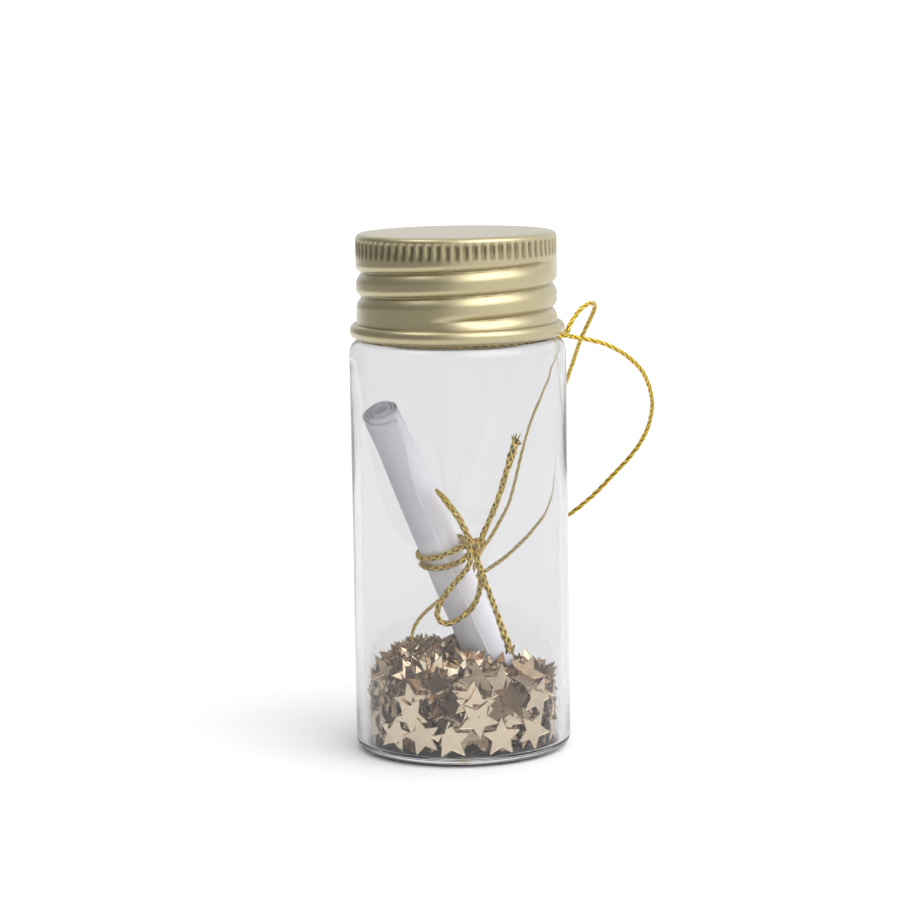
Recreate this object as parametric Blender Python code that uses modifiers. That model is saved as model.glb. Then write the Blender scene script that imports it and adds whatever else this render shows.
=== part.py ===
# Glass vial ornament: a screw-capped tube of clear glass that holds a tied paper scroll
# in a heap of star sequins, with a braided hanging cord looped round its neck.
# Metres, +Z up. The base of the vial stands on z = 0 and the front faces -Y.

import math
import random

import bmesh
import bpy
from mathutils import Matrix, Vector
from mathutils.geometry import interpolate_bezier

# Vial
body_radius = 0.0150
body_facets = 56
shoulder_start_height = 0.0550
shoulder_rise = 0.00205
shoulder_flare = 0.00055
ledge_inset = 0.0013
ledge_crown_drop = 0.00055
neck_inset = 0.0026
neck_length = 0.0133
neck_wall = 0.0014
neck_root_fillet = 0.0004
rim_round = 0.0004
bore_shoulder_rise = 0.00015
glass_wall = 0.00125
floor_thickness = 0.0013
heel_radius = 0.0016
inner_heel_radius = 0.0006
base_ring_width = 0.0049
base_dome_rise = 0.0004
arc_steps = 3
route_handle_share = 1 / 6
route_samples = 16

# Thread, shared by the vial's neck and the rolled cap
thread_pitch = 0.0033
thread_steps_per_turn = 32
neck_thread_rim_gap = 0.0030
neck_thread_height = 0.0008
neck_thread_root_width = 0.0014
neck_thread_crest_width = 0.0006
neck_thread_lead_angle = math.radians(25)
neck_thread_start_turns = -0.15
thread_bury = 0.0003

# Cap
cap_skirt_gap = 0.00035
cap_wall = 0.0003
cap_top_wall = 0.0003
cap_edge_round = 0.0010
cap_facets = 70
knurl_count = 70
knurl_depth = 0.00028
knurl_cutter_radius = 0.00045
knurl_cutter_sides = 8
knurl_top_drop = 0.0005
knurl_length = 0.0026
knurl_backing_wall = 0.00055
knurl_backing_length = 0.0034
curl_reach = 0.0010
curl_height = 0.00165
curl_arc_steps = 6
groove_depth = 0.00055
groove_mouth_width = 0.0016
groove_root_width = 0.0005
groove_end_gap = 0.0006
groove_start_rise = 0.00295
groove_start_angle = math.radians(-110)
groove_lead_angle = math.radians(40)
ridge_bury = 0.00015
cut_overrun = 0.0005

# Liner
liner_thickness = 0.00085
liner_edge_gap = 0.0003
liner_edge_round = 0.0001
seat_gap = 0.00025

# Hanging cord
cord_diameter = 0.0007
cord_gap = 0.000115
neck_loop_slack = 0.0001
neck_loop_exit_gap = 0.0004
neck_loop_exit_angles = (math.radians(80), math.radians(103.8))
neck_loop_exit_turn = math.radians(13)
neck_loop_round_points = 12
neck_loop_points = 38
hanger_points = 66
cord_side_steps = 2

# Paper scroll
scroll_head_room = 0.0088
scroll_top_radius = 0.00265
scroll_foot_radius = 0.0034
scroll_top_heading = math.radians(193.6)
scroll_foot_heading = math.radians(27)
scroll_foot_place_share = 0.81
scroll_glass_gap = 0.0005
scroll_floor_gap = 0.0003
scroll_turns = 2.6
scroll_steps_per_turn = 20
paper_thickness = 0.0002
paper_lap_gap = 0.0003
scroll_free_edge_angle = math.radians(-62)
scroll_collar_gap = 0.0003

# Tie of the scroll
tie_diameter = 0.0010
tie_wrap_gap = 0.00025
tie_wrap_place_share = 0.563
tie_wrap_turns = 1.86
tie_wrap_pitch = 0.00155
tie_points_per_turn = 24
tie_knot_angle = math.radians(-36)
tie_knot_strand = 0.0009
tie_knot_radius = 0.00085
tie_knot_turns = 1.6
tie_knot_pitch = 0.0014
tie_knot_offset = 0.00215
tie_points = 26
tie_side_steps = 1

# Sequin stars
star_tip_radius = 0.0027
star_notch_radius = 0.00122
star_thickness = 0.00024
star_points = 5
star_glass_gap = 0.0003
wall_star_rows = 2
wall_star_first_height = 0.0044
wall_star_row_step = 0.0052
wall_star_gap = 0.0003
star_side_gap = 0.0003
top_star_ring_radius_shares = (0.36, 0.78)
top_star_turn_share = 0.25
top_star_gap = 0.0003
heap_facets = 40
heap_floor_gap = 0.0003
heap_edge_height = 0.0112
heap_crown_height = 0.0138
heap_ring_steps = 5
heap_foot_round = 0.0012
buried_star_rows = 3
buried_stars_per_row = 9
buried_star_reach = 0.0004
buried_star_lean = math.radians(28)
star_seed = 7

# Derived sizes
tau = 2 * math.pi
inner_radius = body_radius - glass_wall
ledge_height = shoulder_start_height + shoulder_rise
ledge_radius = body_radius - ledge_inset
rim_height = ledge_height + neck_length
neck_radius = body_radius - neck_inset
bore_radius = neck_radius - neck_wall
bore_shoulder_height = ledge_height + bore_shoulder_rise
inner_shoulder_height = shoulder_start_height - glass_wall
base_ring_inner_radius = body_radius - heel_radius - base_ring_width
liner_low = rim_height + seat_gap
cap_underside = liner_low + liner_thickness + seat_gap
cap_top = cap_underside + cap_top_wall
cap_inner_radius = neck_radius + neck_thread_height + cap_skirt_gap
cap_radius = cap_inner_radius + cap_wall
curl_low = ledge_height + cord_diameter + 2 * cord_gap
knurl_backing_radius = cap_radius - knurl_backing_wall
liner_radius = knurl_backing_radius - liner_edge_gap
knurl_low = cap_top - knurl_top_drop - knurl_length
groove_start_height = curl_low + groove_start_rise
groove_turns = (knurl_low - groove_end_gap - groove_start_height) / thread_pitch
neck_thread_start_height = groove_start_height + thread_pitch * (neck_thread_start_turns + 1 / 2)
neck_thread_turns = (rim_height - neck_thread_rim_gap - neck_thread_start_height) / thread_pitch
cord_radius = cord_diameter / 2
neck_loop_radius = neck_radius + neck_root_fillet + cord_radius + neck_loop_slack
neck_loop_exit_radius = cap_radius + curl_reach + neck_loop_exit_gap
tie_radius = tie_diameter / 2
front_angle = -math.pi / 2


def clear_scene():
    for item in list(bpy.context.scene.objects):
        bpy.data.objects.remove(item, do_unlink=True)


def new_collection(name):
    group = bpy.data.collections.new(name)
    bpy.context.scene.collection.children.link(group)
    return group


clear_scene()
parts = new_collection("vial_ornament")
cutters = new_collection("cutters")


def finish(name, colour, roughness, metallic=0.0, transmission=0.0):
    """A Principled finish in the piece's own colour."""
    material = bpy.data.materials.new(name)
    material.use_nodes = True
    shader = material.node_tree.nodes["Principled BSDF"]
    shader.inputs["Base Color"].default_value = (*colour, 1.0)
    shader.inputs["Roughness"].default_value = roughness
    shader.inputs["Metallic"].default_value = metallic
    shader.inputs["Transmission Weight"].default_value = transmission
    return material


clear_glass = finish("clear_glass", (0.93, 0.95, 0.93), 0.02, transmission=1.0)
gold_cap_lacquer = finish("gold_cap_lacquer", (0.62, 0.55, 0.36), 0.32, metallic=1.0)
foam_liner = finish("foam_liner", (0.90, 0.89, 0.85), 0.75)
pale_paper = finish("pale_paper", (0.72, 0.71, 0.76), 0.85)
gold_braid = finish("gold_braid", (0.80, 0.58, 0.14), 0.28, metallic=1.0)
tie_braid = finish("tie_braid", (0.76, 0.60, 0.16), 0.28, metallic=1.0)
gold_sequin = finish("gold_sequin", (0.72, 0.55, 0.40), 0.22, metallic=1.0)
buried_sequin = finish("buried_sequin", (0.40, 0.27, 0.18), 0.35, metallic=1.0)


def add_object(name, mesh, material, group=None):
    item = bpy.data.objects.new(name, mesh)
    (group or parts).objects.link(item)
    if material:
        mesh.materials.append(material)
    return item


def hide_cutter(item):
    item.hide_render = True
    item.display_type = "WIRE"


def arc(centre, radius, first, last, steps):
    """Points on a round stretch of a profile, first and last angles included."""
    return [(centre[0] + radius * math.cos(first + (last - first) * i / steps),
             centre[1] + radius * math.sin(first + (last - first) * i / steps))
            for i in range(steps + 1)]


def turned(name, profile, facets, material, group=None):
    """A profile of (radius, height) points turned about Z with a Screw modifier."""
    mesh = bpy.data.meshes.new(name)
    shape = bmesh.new()
    corners = [shape.verts.new((radius, 0, height)) for radius, height in profile]
    for near, far in zip(corners, corners[1:]):
        shape.edges.new((near, far))
    if profile[0][0] > 0:
        shape.edges.new((corners[-1], corners[0]))
    shape.to_mesh(mesh)
    shape.free()
    item = add_object(name, mesh, material, group)
    screw = item.modifiers.new("turn", "SCREW")
    screw.steps = facets
    screw.render_steps = facets
    screw.use_merge_vertices = True
    screw.merge_threshold = 0.00001
    screw.use_smooth_shade = True
    return item


def helical_sweep(name, section, start_angle, turns, start_height, lead_angle, lead_shift):
    """A closed section of (radius, height, share) points swept along the shared thread.

    Over the lead angle at either end a point shifts by its share of lead_shift in
    radius, so the thread or groove runs out in the wall."""
    shape = bmesh.new()
    steps = round(thread_steps_per_turn * turns)

    def place(step):
        turned_by = tau * turns * step / steps
        from_end = min(turned_by, tau * turns - turned_by)
        shift = lead_shift * max(0.0, 1 - from_end / lead_angle)
        angle = start_angle + turned_by
        rise = start_height + thread_pitch * turned_by / tau
        return [Vector(((radius + share * shift) * math.cos(angle),
                        (radius + share * shift) * math.sin(angle),
                        rise + height)) for radius, height, share in section]

    ring = [shape.verts.new(point) for point in place(0)]
    first_ring = ring
    edges = [shape.edges.new((ring[i - 1], ring[i])) for i in range(len(ring))]
    for step in range(1, steps + 1):
        grown = bmesh.ops.extrude_edge_only(shape, edges=edges)["geom"]
        edges = [part for part in grown if isinstance(part, bmesh.types.BMEdge)]
        following = {}
        for vertex in ring:
            for edge in vertex.link_edges:
                other = edge.other_vert(vertex)
                if other in grown:
                    following[vertex] = other
        ring = [following[vertex] for vertex in ring]
        edges = [edge for edge in edges if all(vertex in ring for vertex in edge.verts)]
        for vertex, point in zip(ring, place(step)):
            vertex.co = point
    shape.faces.new(first_ring)
    shape.faces.new(ring)
    bmesh.ops.recalc_face_normals(shape, faces=shape.faces)
    mesh = bpy.data.meshes.new(name)
    shape.to_mesh(mesh)
    shape.free()
    item = add_object(name, mesh, None, cutters)
    hide_cutter(item)
    return item


def boolean(item, tool, operation):
    step = item.modifiers.new(tool.name, "BOOLEAN")
    step.operation = operation
    step.solver = "EXACT"
    step.object = tool


def smooth_route(points, count):
    """Evenly spaced points on one smooth curve through the hand-chosen points."""
    knots = [Vector(point) for point in points]
    dense = []
    for i in range(len(knots) - 1):
        before = knots[max(i - 1, 0)]
        after = knots[min(i + 2, len(knots) - 1)]
        first_handle = knots[i] + (knots[i + 1] - before) * route_handle_share
        last_handle = knots[i + 1] - (after - knots[i]) * route_handle_share
        piece = interpolate_bezier(knots[i], first_handle, last_handle, knots[i + 1],
                                   route_samples)
        dense.extend(piece if i == 0 else piece[1:])
    reach = [0.0]
    for near, far in zip(dense, dense[1:]):
        reach.append(reach[-1] + (far - near).length)
    even = []
    place = 0
    for i in range(count):
        wanted = reach[-1] * i / (count - 1)
        while place < len(dense) - 2 and reach[place + 1] < wanted:
            place += 1
        share = (wanted - reach[place]) / (reach[place + 1] - reach[place])
        even.append(dense[place].lerp(dense[place + 1], min(share, 1.0)))
    return even


def tube(name, points, diameter, level, material):
    """A round cord along the points, with filled ends."""
    curve = bpy.data.curves.new(name, "CURVE")
    curve.dimensions = "3D"
    curve.bevel_depth = diameter / 2
    curve.bevel_resolution = level
    curve.use_fill_caps = True
    spline = curve.splines.new("POLY")
    spline.points.add(len(points) - 1)
    for target, point in zip(spline.points, points):
        target.co = (*point, 1.0)
    curve.materials.append(material)
    item = bpy.data.objects.new(name, curve)
    parts.objects.link(item)
    return item


def glass_vial():
    """Straight tube with a rounded heel, a soft shoulder, a narrow neck and its thread."""
    inner_floor = [(0, floor_thickness)]
    inner_heel = arc((inner_radius - inner_heel_radius, floor_thickness + inner_heel_radius),
                     inner_heel_radius, front_angle, 0, arc_steps)
    inner_shoulder = [(inner_radius, inner_shoulder_height),
                      ((bore_radius + inner_radius) / 2,
                       (inner_shoulder_height + bore_shoulder_height) / 2),
                      (bore_radius, bore_shoulder_height)]
    rim = arc((bore_radius + rim_round, rim_height - rim_round), rim_round,
              math.pi, math.pi / 2, arc_steps)
    rim += arc((neck_radius - rim_round, rim_height - rim_round), rim_round,
               math.pi / 2, 0, arc_steps)
    neck_root = arc((neck_radius + neck_root_fillet, ledge_height + neck_root_fillet),
                    neck_root_fillet, math.pi, 3 * math.pi / 2, arc_steps)
    crown_width = body_radius - ledge_radius
    shoulder = [(ledge_radius, ledge_height),
                (ledge_radius + crown_width / 2, ledge_height - ledge_crown_drop / 2),
                (body_radius - shoulder_flare / 2, ledge_height - 2 * ledge_crown_drop),
                (body_radius, shoulder_start_height)]
    heel = arc((body_radius - heel_radius, heel_radius), heel_radius, 0, front_angle, arc_steps)
    base = [(base_ring_inner_radius, 0), (0, base_dome_rise)]
    profile = inner_floor + inner_heel + inner_shoulder + rim + neck_root + shoulder + heel + base
    vial = turned("glass_vial", profile, body_facets, clear_glass)
    half_root = neck_thread_root_width / 2
    half_crest = neck_thread_crest_width / 2
    root_radius = neck_radius - thread_bury
    crest_radius = neck_radius + neck_thread_height
    section = [(root_radius, -half_root, 0), (crest_radius, -half_crest, 1),
               (crest_radius, half_crest, 1), (root_radius, half_root, 0)]
    thread = helical_sweep("neck_thread", section, groove_start_angle + tau * neck_thread_start_turns,
                           neck_thread_turns, neck_thread_start_height, neck_thread_lead_angle,
                           -neck_thread_height - thread_bury / 2)
    boolean(vial, thread, "UNION")
    return vial


def knurl_flutes():
    """One cutter for every flute of the grip band, as separate upright rods."""
    shape = bmesh.new()
    centre_radius = cap_radius - knurl_depth + knurl_cutter_radius
    middle = knurl_low + knurl_length / 2
    for i in range(knurl_count):
        angle = tau * (i + 1 / 2) / knurl_count
        place = Matrix.Translation((centre_radius * math.cos(angle),
                                    centre_radius * math.sin(angle), middle))
        turn = Matrix.Rotation(angle, 4, "Z")
        bmesh.ops.create_cone(shape, cap_ends=True, segments=knurl_cutter_sides,
                              radius1=knurl_cutter_radius, radius2=knurl_cutter_radius,
                              depth=knurl_length, matrix=place @ turn)
    mesh = bpy.data.meshes.new("knurl_flutes")
    shape.to_mesh(mesh)
    shape.free()
    item = add_object("knurl_flutes", mesh, None, cutters)
    hide_cutter(item)
    return item


def screw_cap():
    """Rolled metal cap: flat top, knurled grip band, rolled thread and a curled hem."""
    crown = [(0, cap_top)]
    crown += arc((cap_radius - cap_edge_round, cap_top - cap_edge_round), cap_edge_round,
                 math.pi / 2, 0, arc_steps)
    curl_radius = curl_height / 2
    curl_centre = (cap_radius + curl_reach - curl_radius, curl_low + curl_radius)
    skirt_angle = math.acos((cap_radius - curl_centre[0]) / curl_radius)
    curl = arc(curl_centre, curl_radius, skirt_angle, front_angle, curl_arc_steps)
    inner_hem = [(cap_inner_radius + (curl_centre[0] - cap_inner_radius) / 2, curl_low),
                 (cap_inner_radius, curl_low + curl_radius / 2)]
    backing_low = cap_underside - knurl_backing_length
    inside = [(cap_inner_radius, backing_low - knurl_backing_wall),
              (knurl_backing_radius, backing_low), (knurl_backing_radius, cap_underside),
              (0, cap_underside)]
    cap = turned("screw_cap", crown + curl + inner_hem + inside, cap_facets, gold_cap_lacquer)
    half_mouth = groove_mouth_width / 2
    half_root = groove_root_width / 2
    groove_floor = cap_radius - groove_depth
    slope = (half_mouth - half_root) / groove_depth
    widen = cap_wall * math.sqrt(1 + slope * slope)
    ridge_crest = groove_floor - cap_wall
    ridge_root = cap_inner_radius + ridge_bury
    root_half = half_root + slope * (ridge_root - groove_floor) + widen
    crest_half = half_root + slope * (ridge_crest - groove_floor) + widen
    ridge = helical_sweep("thread_ridge", [(ridge_root, -root_half, 0), (ridge_crest, -crest_half, 1),
                                           (ridge_crest, crest_half, 1), (ridge_root, root_half, 0)],
                          groove_start_angle, groove_turns, groove_start_height,
                          groove_lead_angle, groove_depth + ridge_bury / 2)
    mouth_radius = cap_radius + cut_overrun
    mouth_half = half_mouth + slope * cut_overrun
    groove = helical_sweep("thread_groove",
                           [(groove_floor, -half_root, 1), (mouth_radius, -mouth_half, 0),
                            (mouth_radius, mouth_half, 0), (groove_floor, half_root, 1)],
                           groove_start_angle, groove_turns, groove_start_height,
                           groove_lead_angle, groove_depth + cut_overrun / 2)
    boolean(cap, ridge, "UNION")
    boolean(cap, groove, "DIFFERENCE")
    boolean(cap, knurl_flutes(), "DIFFERENCE")
    return cap


def cap_liner():
    """Foam disc that the cap presses on the rim."""
    high = liner_low + liner_thickness
    profile = [(0, high), (liner_radius - liner_edge_round, high),
               (liner_radius, high - liner_edge_round), (liner_radius, liner_low + liner_edge_round),
               (liner_radius - liner_edge_round, liner_low), (0, liner_low)]
    return turned("cap_liner", profile, body_facets, foam_liner)


def scroll_places():
    """Where the middles of the leaning scroll's two ends stand, seen from above.

    Its top leans on the glass at the left and its foot stands on the floor at the right."""
    top_reach = inner_radius - scroll_top_radius - scroll_glass_gap
    foot_reach = (inner_radius - scroll_foot_radius) * scroll_foot_place_share
    top = Vector((top_reach * math.cos(scroll_top_heading), top_reach * math.sin(scroll_top_heading), 0))
    foot = Vector((foot_reach * math.cos(scroll_foot_heading),
                   foot_reach * math.sin(scroll_foot_heading), 0))
    return foot, top


scroll_reach = (scroll_places()[1] - scroll_places()[0]).length
scroll_rise = inner_shoulder_height - scroll_head_room - floor_thickness - scroll_floor_gap
scroll_length = math.hypot(scroll_reach, scroll_rise)


def scroll_frame():
    """Axes of the leaning scroll: Z runs up its middle, -Y looks to the front."""
    foot, top = scroll_places()
    up = top - foot
    lean = math.atan2(scroll_reach, scroll_rise)
    foot.z = (floor_thickness + scroll_floor_gap
              + (scroll_foot_radius + paper_thickness) * math.sin(lean))
    up.z = scroll_rise
    up.normalize()
    right = Vector((1, 0, 0))
    right = (right - up * right.dot(up)).normalized()
    back = up.cross(right)
    frame = Matrix((right, back, up)).transposed().to_4x4()
    frame.translation = foot
    return frame


def scroll_radius(height):
    share = height / scroll_length
    return scroll_foot_radius + (scroll_top_radius - scroll_foot_radius) * share


def paper_scroll():
    """One sheet rolled into a slightly flared tube: an open spiral strip with Solidify."""
    frame = scroll_frame()
    steps = round(scroll_turns * scroll_steps_per_turn)
    lap = paper_thickness + paper_lap_gap
    shape = bmesh.new()
    low_edge = []
    high_edge = []
    for i in range(steps + 1):
        turned_by = tau * scroll_turns * i / steps
        angle = scroll_free_edge_angle - turned_by
        inward = lap * turned_by / tau
        for edge, height in ((low_edge, 0.0), (high_edge, scroll_length)):
            radius = scroll_radius(height) - inward
            edge.append(shape.verts.new(frame @ Vector((radius * math.cos(angle),
                                                        radius * math.sin(angle), height))))
    for i in range(steps):
        shape.faces.new((low_edge[i], high_edge[i], high_edge[i + 1], low_edge[i + 1]))
    mesh = bpy.data.meshes.new("paper_scroll")
    shape.to_mesh(mesh)
    shape.free()
    scroll = add_object("paper_scroll", mesh, pale_paper)
    sheet = scroll.modifiers.new("sheet", "SOLIDIFY")
    sheet.thickness = paper_thickness
    sheet.offset = -1.0
    return scroll


def tie_winding():
    """The cord's two turns round the scroll, one unbroken helix that starts at the knot."""
    frame = scroll_frame()
    middle = scroll_length * tie_wrap_place_share
    count = round(tie_wrap_turns * tie_points_per_turn)
    open_angle = tau * (math.ceil(tie_wrap_turns) - tie_wrap_turns) / 2
    points = []
    for i in range(count + 1):
        turned_by = tau * tie_wrap_turns * i / count
        angle = tie_knot_angle - open_angle - turned_by
        height = middle + tie_wrap_pitch * (tie_wrap_turns / 2 - turned_by / tau)
        radius = scroll_radius(height) + tie_wrap_gap + tie_radius
        points.append(frame @ Vector((radius * math.cos(angle), radius * math.sin(angle), height)))
    least = min((points[i] - points[j]).length for i in range(len(points))
                for j in range(i + tie_points_per_turn // 2, len(points)))
    print("least gap between the turns of the tie, mm:", round((least - tie_diameter) * 1000, 2))
    return tube("tie_winding", points, tie_diameter, tie_side_steps, tie_braid)


def tie_knot_frame():
    """Axes of the knot: X points away from the scroll, Z along it."""
    frame = scroll_frame()
    height = scroll_length * tie_wrap_place_share
    reach = scroll_radius(height) + tie_wrap_gap + tie_radius + tie_knot_offset
    turn = Matrix.Rotation(tie_knot_angle, 4, "Z")
    return frame @ turn @ Matrix.Translation((reach, 0, height))


def tie_knot():
    """The bow's binding turns, a tight coil that stands off the scroll."""
    frame = tie_knot_frame()
    count = round(tie_knot_turns * tie_points_per_turn / 2)
    points = []
    for i in range(count + 1):
        angle = tau * tie_knot_turns * i / count
        along = tie_knot_pitch * (angle / tau - tie_knot_turns / 2)
        points.append(frame @ Vector((tie_knot_radius * math.sin(angle), along,
                                      tie_knot_radius * math.cos(angle))))
    return tube("tie_knot", points, tie_knot_strand, tie_side_steps, tie_braid)


# Routes of the bow's loops and tails, chosen by hand and counted from the knot's middle
bow_low_loop_route = ((-0.0006, -0.0011, -0.0016), (-0.0008, -0.0012, -0.0026), (-0.0017, -0.0010, -0.0037),
                      (-0.0029, -0.0007, -0.0050), (-0.0044, -0.0005, -0.0069), (-0.0052, -0.0004, -0.0088),
                      (-0.0043, -0.0003, -0.0103), (-0.0027, -0.0003, -0.0103), (-0.0009, -0.0002, -0.0090),
                      (0.0003, -0.0001, -0.0072), (0.0009, -0.0001, -0.0049), (0.0008, -0.0003, -0.0029),
                      (0.0007, -0.0002, -0.0016))
bow_high_loop_route = ((-0.0008, -0.0015, 0.0013), (-0.0013, -0.0018, 0.0023), (-0.0020, -0.0019, 0.0039),
                       (-0.0031, -0.0022, 0.0059), (-0.0042, -0.0024, 0.0075), (-0.0049, -0.0020, 0.0082),
                       (-0.0046, -0.0013, 0.0080), (-0.0035, -0.0006, 0.0065), (-0.0022, -0.0001, 0.0045),
                       (-0.0011, 0.0001, 0.0027), (-0.0006, 0.0000, 0.0015))
bow_high_tail_route = ((0.0010, -0.0006, 0.0013), (0.0014, -0.0008, 0.0023), (0.0023, -0.0010, 0.0043),
                       (0.0036, -0.0014, 0.0076), (0.0047, -0.0018, 0.0111), (0.0059, -0.0021, 0.0148))
bow_low_tail_route = ((0.0018, -0.0001, -0.0006), (0.0022, -0.0004, -0.0019), (0.0025, -0.0007, -0.0035),
                      (0.0028, -0.0011, -0.0051), (0.0031, -0.0015, -0.0069), (0.0037, -0.0020, -0.0096),
                      (0.0043, -0.0024, -0.0119), (0.0048, -0.0026, -0.0134))

# Route of the hanging cord, chosen by hand: out of the neck to the right, round behind
# the vial, down to the table, and back up to the neck
hanger_route = ((0.01555, -0.0026, 0.05752), (0.0171, -0.0023, 0.0572), (0.0186, -0.0016, 0.0568),
                (0.0203, -0.0005, 0.0562), (0.0221, 0.0008, 0.0552), (0.0240, 0.0030, 0.0537),
                (0.0258, 0.0058, 0.0516), (0.0270, 0.0091, 0.0490), (0.0276, 0.0122, 0.0464),
                (0.0275, 0.0150, 0.0437), (0.0268, 0.0175, 0.0410), (0.0252, 0.0202, 0.0379),
                (0.0228, 0.0223, 0.0349), (0.0195, 0.0241, 0.0312), (0.0163, 0.0255, 0.0284),
                (0.0126, 0.0272, 0.0256), (0.0088, 0.0300, 0.0222), (0.0043, 0.0330, 0.0189),
                (0.0001, 0.0357, 0.0162), (-0.0043, 0.0382, 0.0132), (-0.0077, 0.0398, 0.0103),
                (-0.0092, 0.0405, 0.0076), (-0.0092, 0.0405, 0.0048), (-0.0082, 0.0400, 0.0022),
                (-0.0062, 0.0394, 0.0008), (-0.0040, 0.0394, 0.0008), (-0.0016, 0.0400, 0.0022),
                (-0.0003, 0.0412, 0.0050), (0.0006, 0.0424, 0.0104), (0.0016, 0.0422, 0.0155),
                (0.0031, 0.0413, 0.0196), (0.0064, 0.0400, 0.0242), (0.0097, 0.0383, 0.0294),
                (0.0126, 0.0354, 0.0372), (0.0144, 0.0318, 0.0428), (0.0158, 0.0274, 0.0475),
                (0.0168, 0.0222, 0.0514), (0.0176, 0.0172, 0.0548), (0.0186, 0.0138, 0.0576),
                (0.0194, 0.0112, 0.0598), (0.0193, 0.0092, 0.0609), (0.0184, 0.0076, 0.0610),
                (0.0173, 0.0061, 0.0604), (0.0163, 0.0049, 0.0593), (0.0157, 0.0042, 0.0584),
                (0.01540, 0.0038, 0.05752))


# The cord's turn out of the neck: shares of the way out and of the angle it takes
neck_loop_turn_out_shares = ((1.0, 0.0), (0.62, 0.04), (0.3, 0.19), (0.085, 0.54), (0.0, 1.0))


def hanger_neck_loop():
    """The cord round the neck, under the cap's hem, with both ends turned out to the right."""
    height = ledge_height + cord_gap + cord_radius

    def turn_out(exit_angle, exit_turn):
        return [(exit_angle + exit_turn * along,
                 neck_loop_radius + (neck_loop_exit_radius - neck_loop_radius) * out)
                for out, along in neck_loop_turn_out_shares]

    first = turn_out(neck_loop_exit_angles[0], -neck_loop_exit_turn)
    last = turn_out(neck_loop_exit_angles[1] - tau, neck_loop_exit_turn)[::-1]
    span = last[0][0] - first[-1][0]
    middle = [(first[-1][0] + span * i / neck_loop_round_points, neck_loop_radius)
              for i in range(1, neck_loop_round_points)]
    points = [(radius * math.sin(turn), -radius * math.cos(turn), height)
              for turn, radius in first + middle + last]
    return tube("hanger_neck_loop", smooth_route(points, neck_loop_points), cord_diameter,
                cord_side_steps, gold_braid)


def bow_cord(name, route, count):
    """One of the bow's loops or tails, placed from the knot's middle."""
    middle = tie_knot_frame().translation
    points = smooth_route([middle + Vector(point) for point in route], count)
    return tube(name, points, tie_diameter, tie_side_steps, tie_braid)


def hanger_loop():
    """The free loop that the ornament hangs by."""
    return tube("hanger_loop", smooth_route(hanger_route, hanger_points), cord_diameter,
                cord_side_steps, gold_braid)


def star_mesh(name, material):
    """A five-pointed sequin: a flat outline with its thickness."""
    shape = bmesh.new()
    corners = []
    for i in range(2 * star_points):
        radius = star_notch_radius if i % 2 else star_tip_radius
        angle = math.pi / 2 + math.pi * i / star_points
        corners.append(shape.verts.new((radius * math.cos(angle), radius * math.sin(angle),
                                        -star_thickness / 2)))
    outline = shape.faces.new(corners)
    grown = bmesh.ops.extrude_face_region(shape, geom=[outline])["geom"]
    raised = [part for part in grown if isinstance(part, bmesh.types.BMVert)]
    bmesh.ops.translate(shape, verts=raised, vec=(0, 0, star_thickness))
    bmesh.ops.recalc_face_normals(shape, faces=shape.faces)
    mesh = bpy.data.meshes.new(name)
    shape.to_mesh(mesh)
    shape.free()
    mesh.materials.append(material)
    return mesh


def wall_star_radius():
    """Distance from the axis of a sequin that lies against the glass."""
    outside = inner_radius - star_glass_gap
    return math.sqrt(outside ** 2 - star_tip_radius ** 2) - star_thickness / 2


heap_radius = wall_star_radius() - star_thickness / 2 - wall_star_gap
star_number = 0


def place_star(mesh, matrix):
    global star_number
    star_number += 1
    star = bpy.data.objects.new(f"star_{star_number:02d}", mesh)
    parts.objects.link(star)
    star.matrix_world = matrix
    return star


def upright_star(angle, radius, height, spin):
    """A sequin that faces out from the axis, at an angle about it."""
    out = Matrix.Rotation(angle, 4, "Z") @ Matrix.Translation((radius, 0, height))
    return out @ Matrix.Rotation(math.pi / 2, 4, "Y") @ Matrix.Rotation(spin, 4, "Z")


def stars_in_ring(radius):
    """How many sequins lie side by side in a ring of that radius."""
    return math.floor(math.pi / math.asin((star_tip_radius + star_side_gap / 2) / radius))


def wall_stars(mesh, chance):
    count = stars_in_ring(wall_star_radius())
    for row in range(wall_star_rows):
        height = wall_star_first_height + wall_star_row_step * row
        for i in range(count):
            angle = front_angle + tau * (i + row / 2) / count
            place_star(mesh, upright_star(angle, wall_star_radius(), height,
                                          chance.uniform(0, tau / star_points)))


def heap_height(radius):
    """Height of the heap's top at a distance from the axis."""
    share = min(radius / heap_radius, 1.0)
    return heap_edge_height + (heap_crown_height - heap_edge_height) * math.cos(share * math.pi / 2)


def top_stars(mesh, chance):
    """Sequins that lie on the heap's rounded top, clear of the scroll."""
    frame = scroll_frame()
    up = frame.to_3x3().col[2]
    foot = frame.translation
    for share in top_star_ring_radius_shares:
        radius = heap_radius * share
        count = stars_in_ring(radius)
        for i in range(count):
            angle = front_angle + tau * (i + top_star_turn_share) / count
            lift = top_star_gap + star_thickness / 2
            place = Vector((radius * math.cos(angle), radius * math.sin(angle), heap_height(radius)))
            from_foot = place - foot
            off_axis = (from_foot - up * from_foot.dot(up)).length
            if off_axis < scroll_foot_radius + star_tip_radius + scroll_collar_gap:
                continue
            step = heap_radius / heap_ring_steps / 2
            fall = (heap_height(radius - step) - heap_height(radius + step)) / (2 * step)
            tilt = math.atan(fall)
            turn = Matrix.Rotation(angle, 4, "Z") @ Matrix.Rotation(tilt, 4, "Y")
            spin = Matrix.Rotation(chance.uniform(0, tau / star_points), 4, "Z")
            place_star(mesh, Matrix.Translation(place) @ turn @ Matrix.Translation((0, 0, lift)) @ spin)


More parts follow.
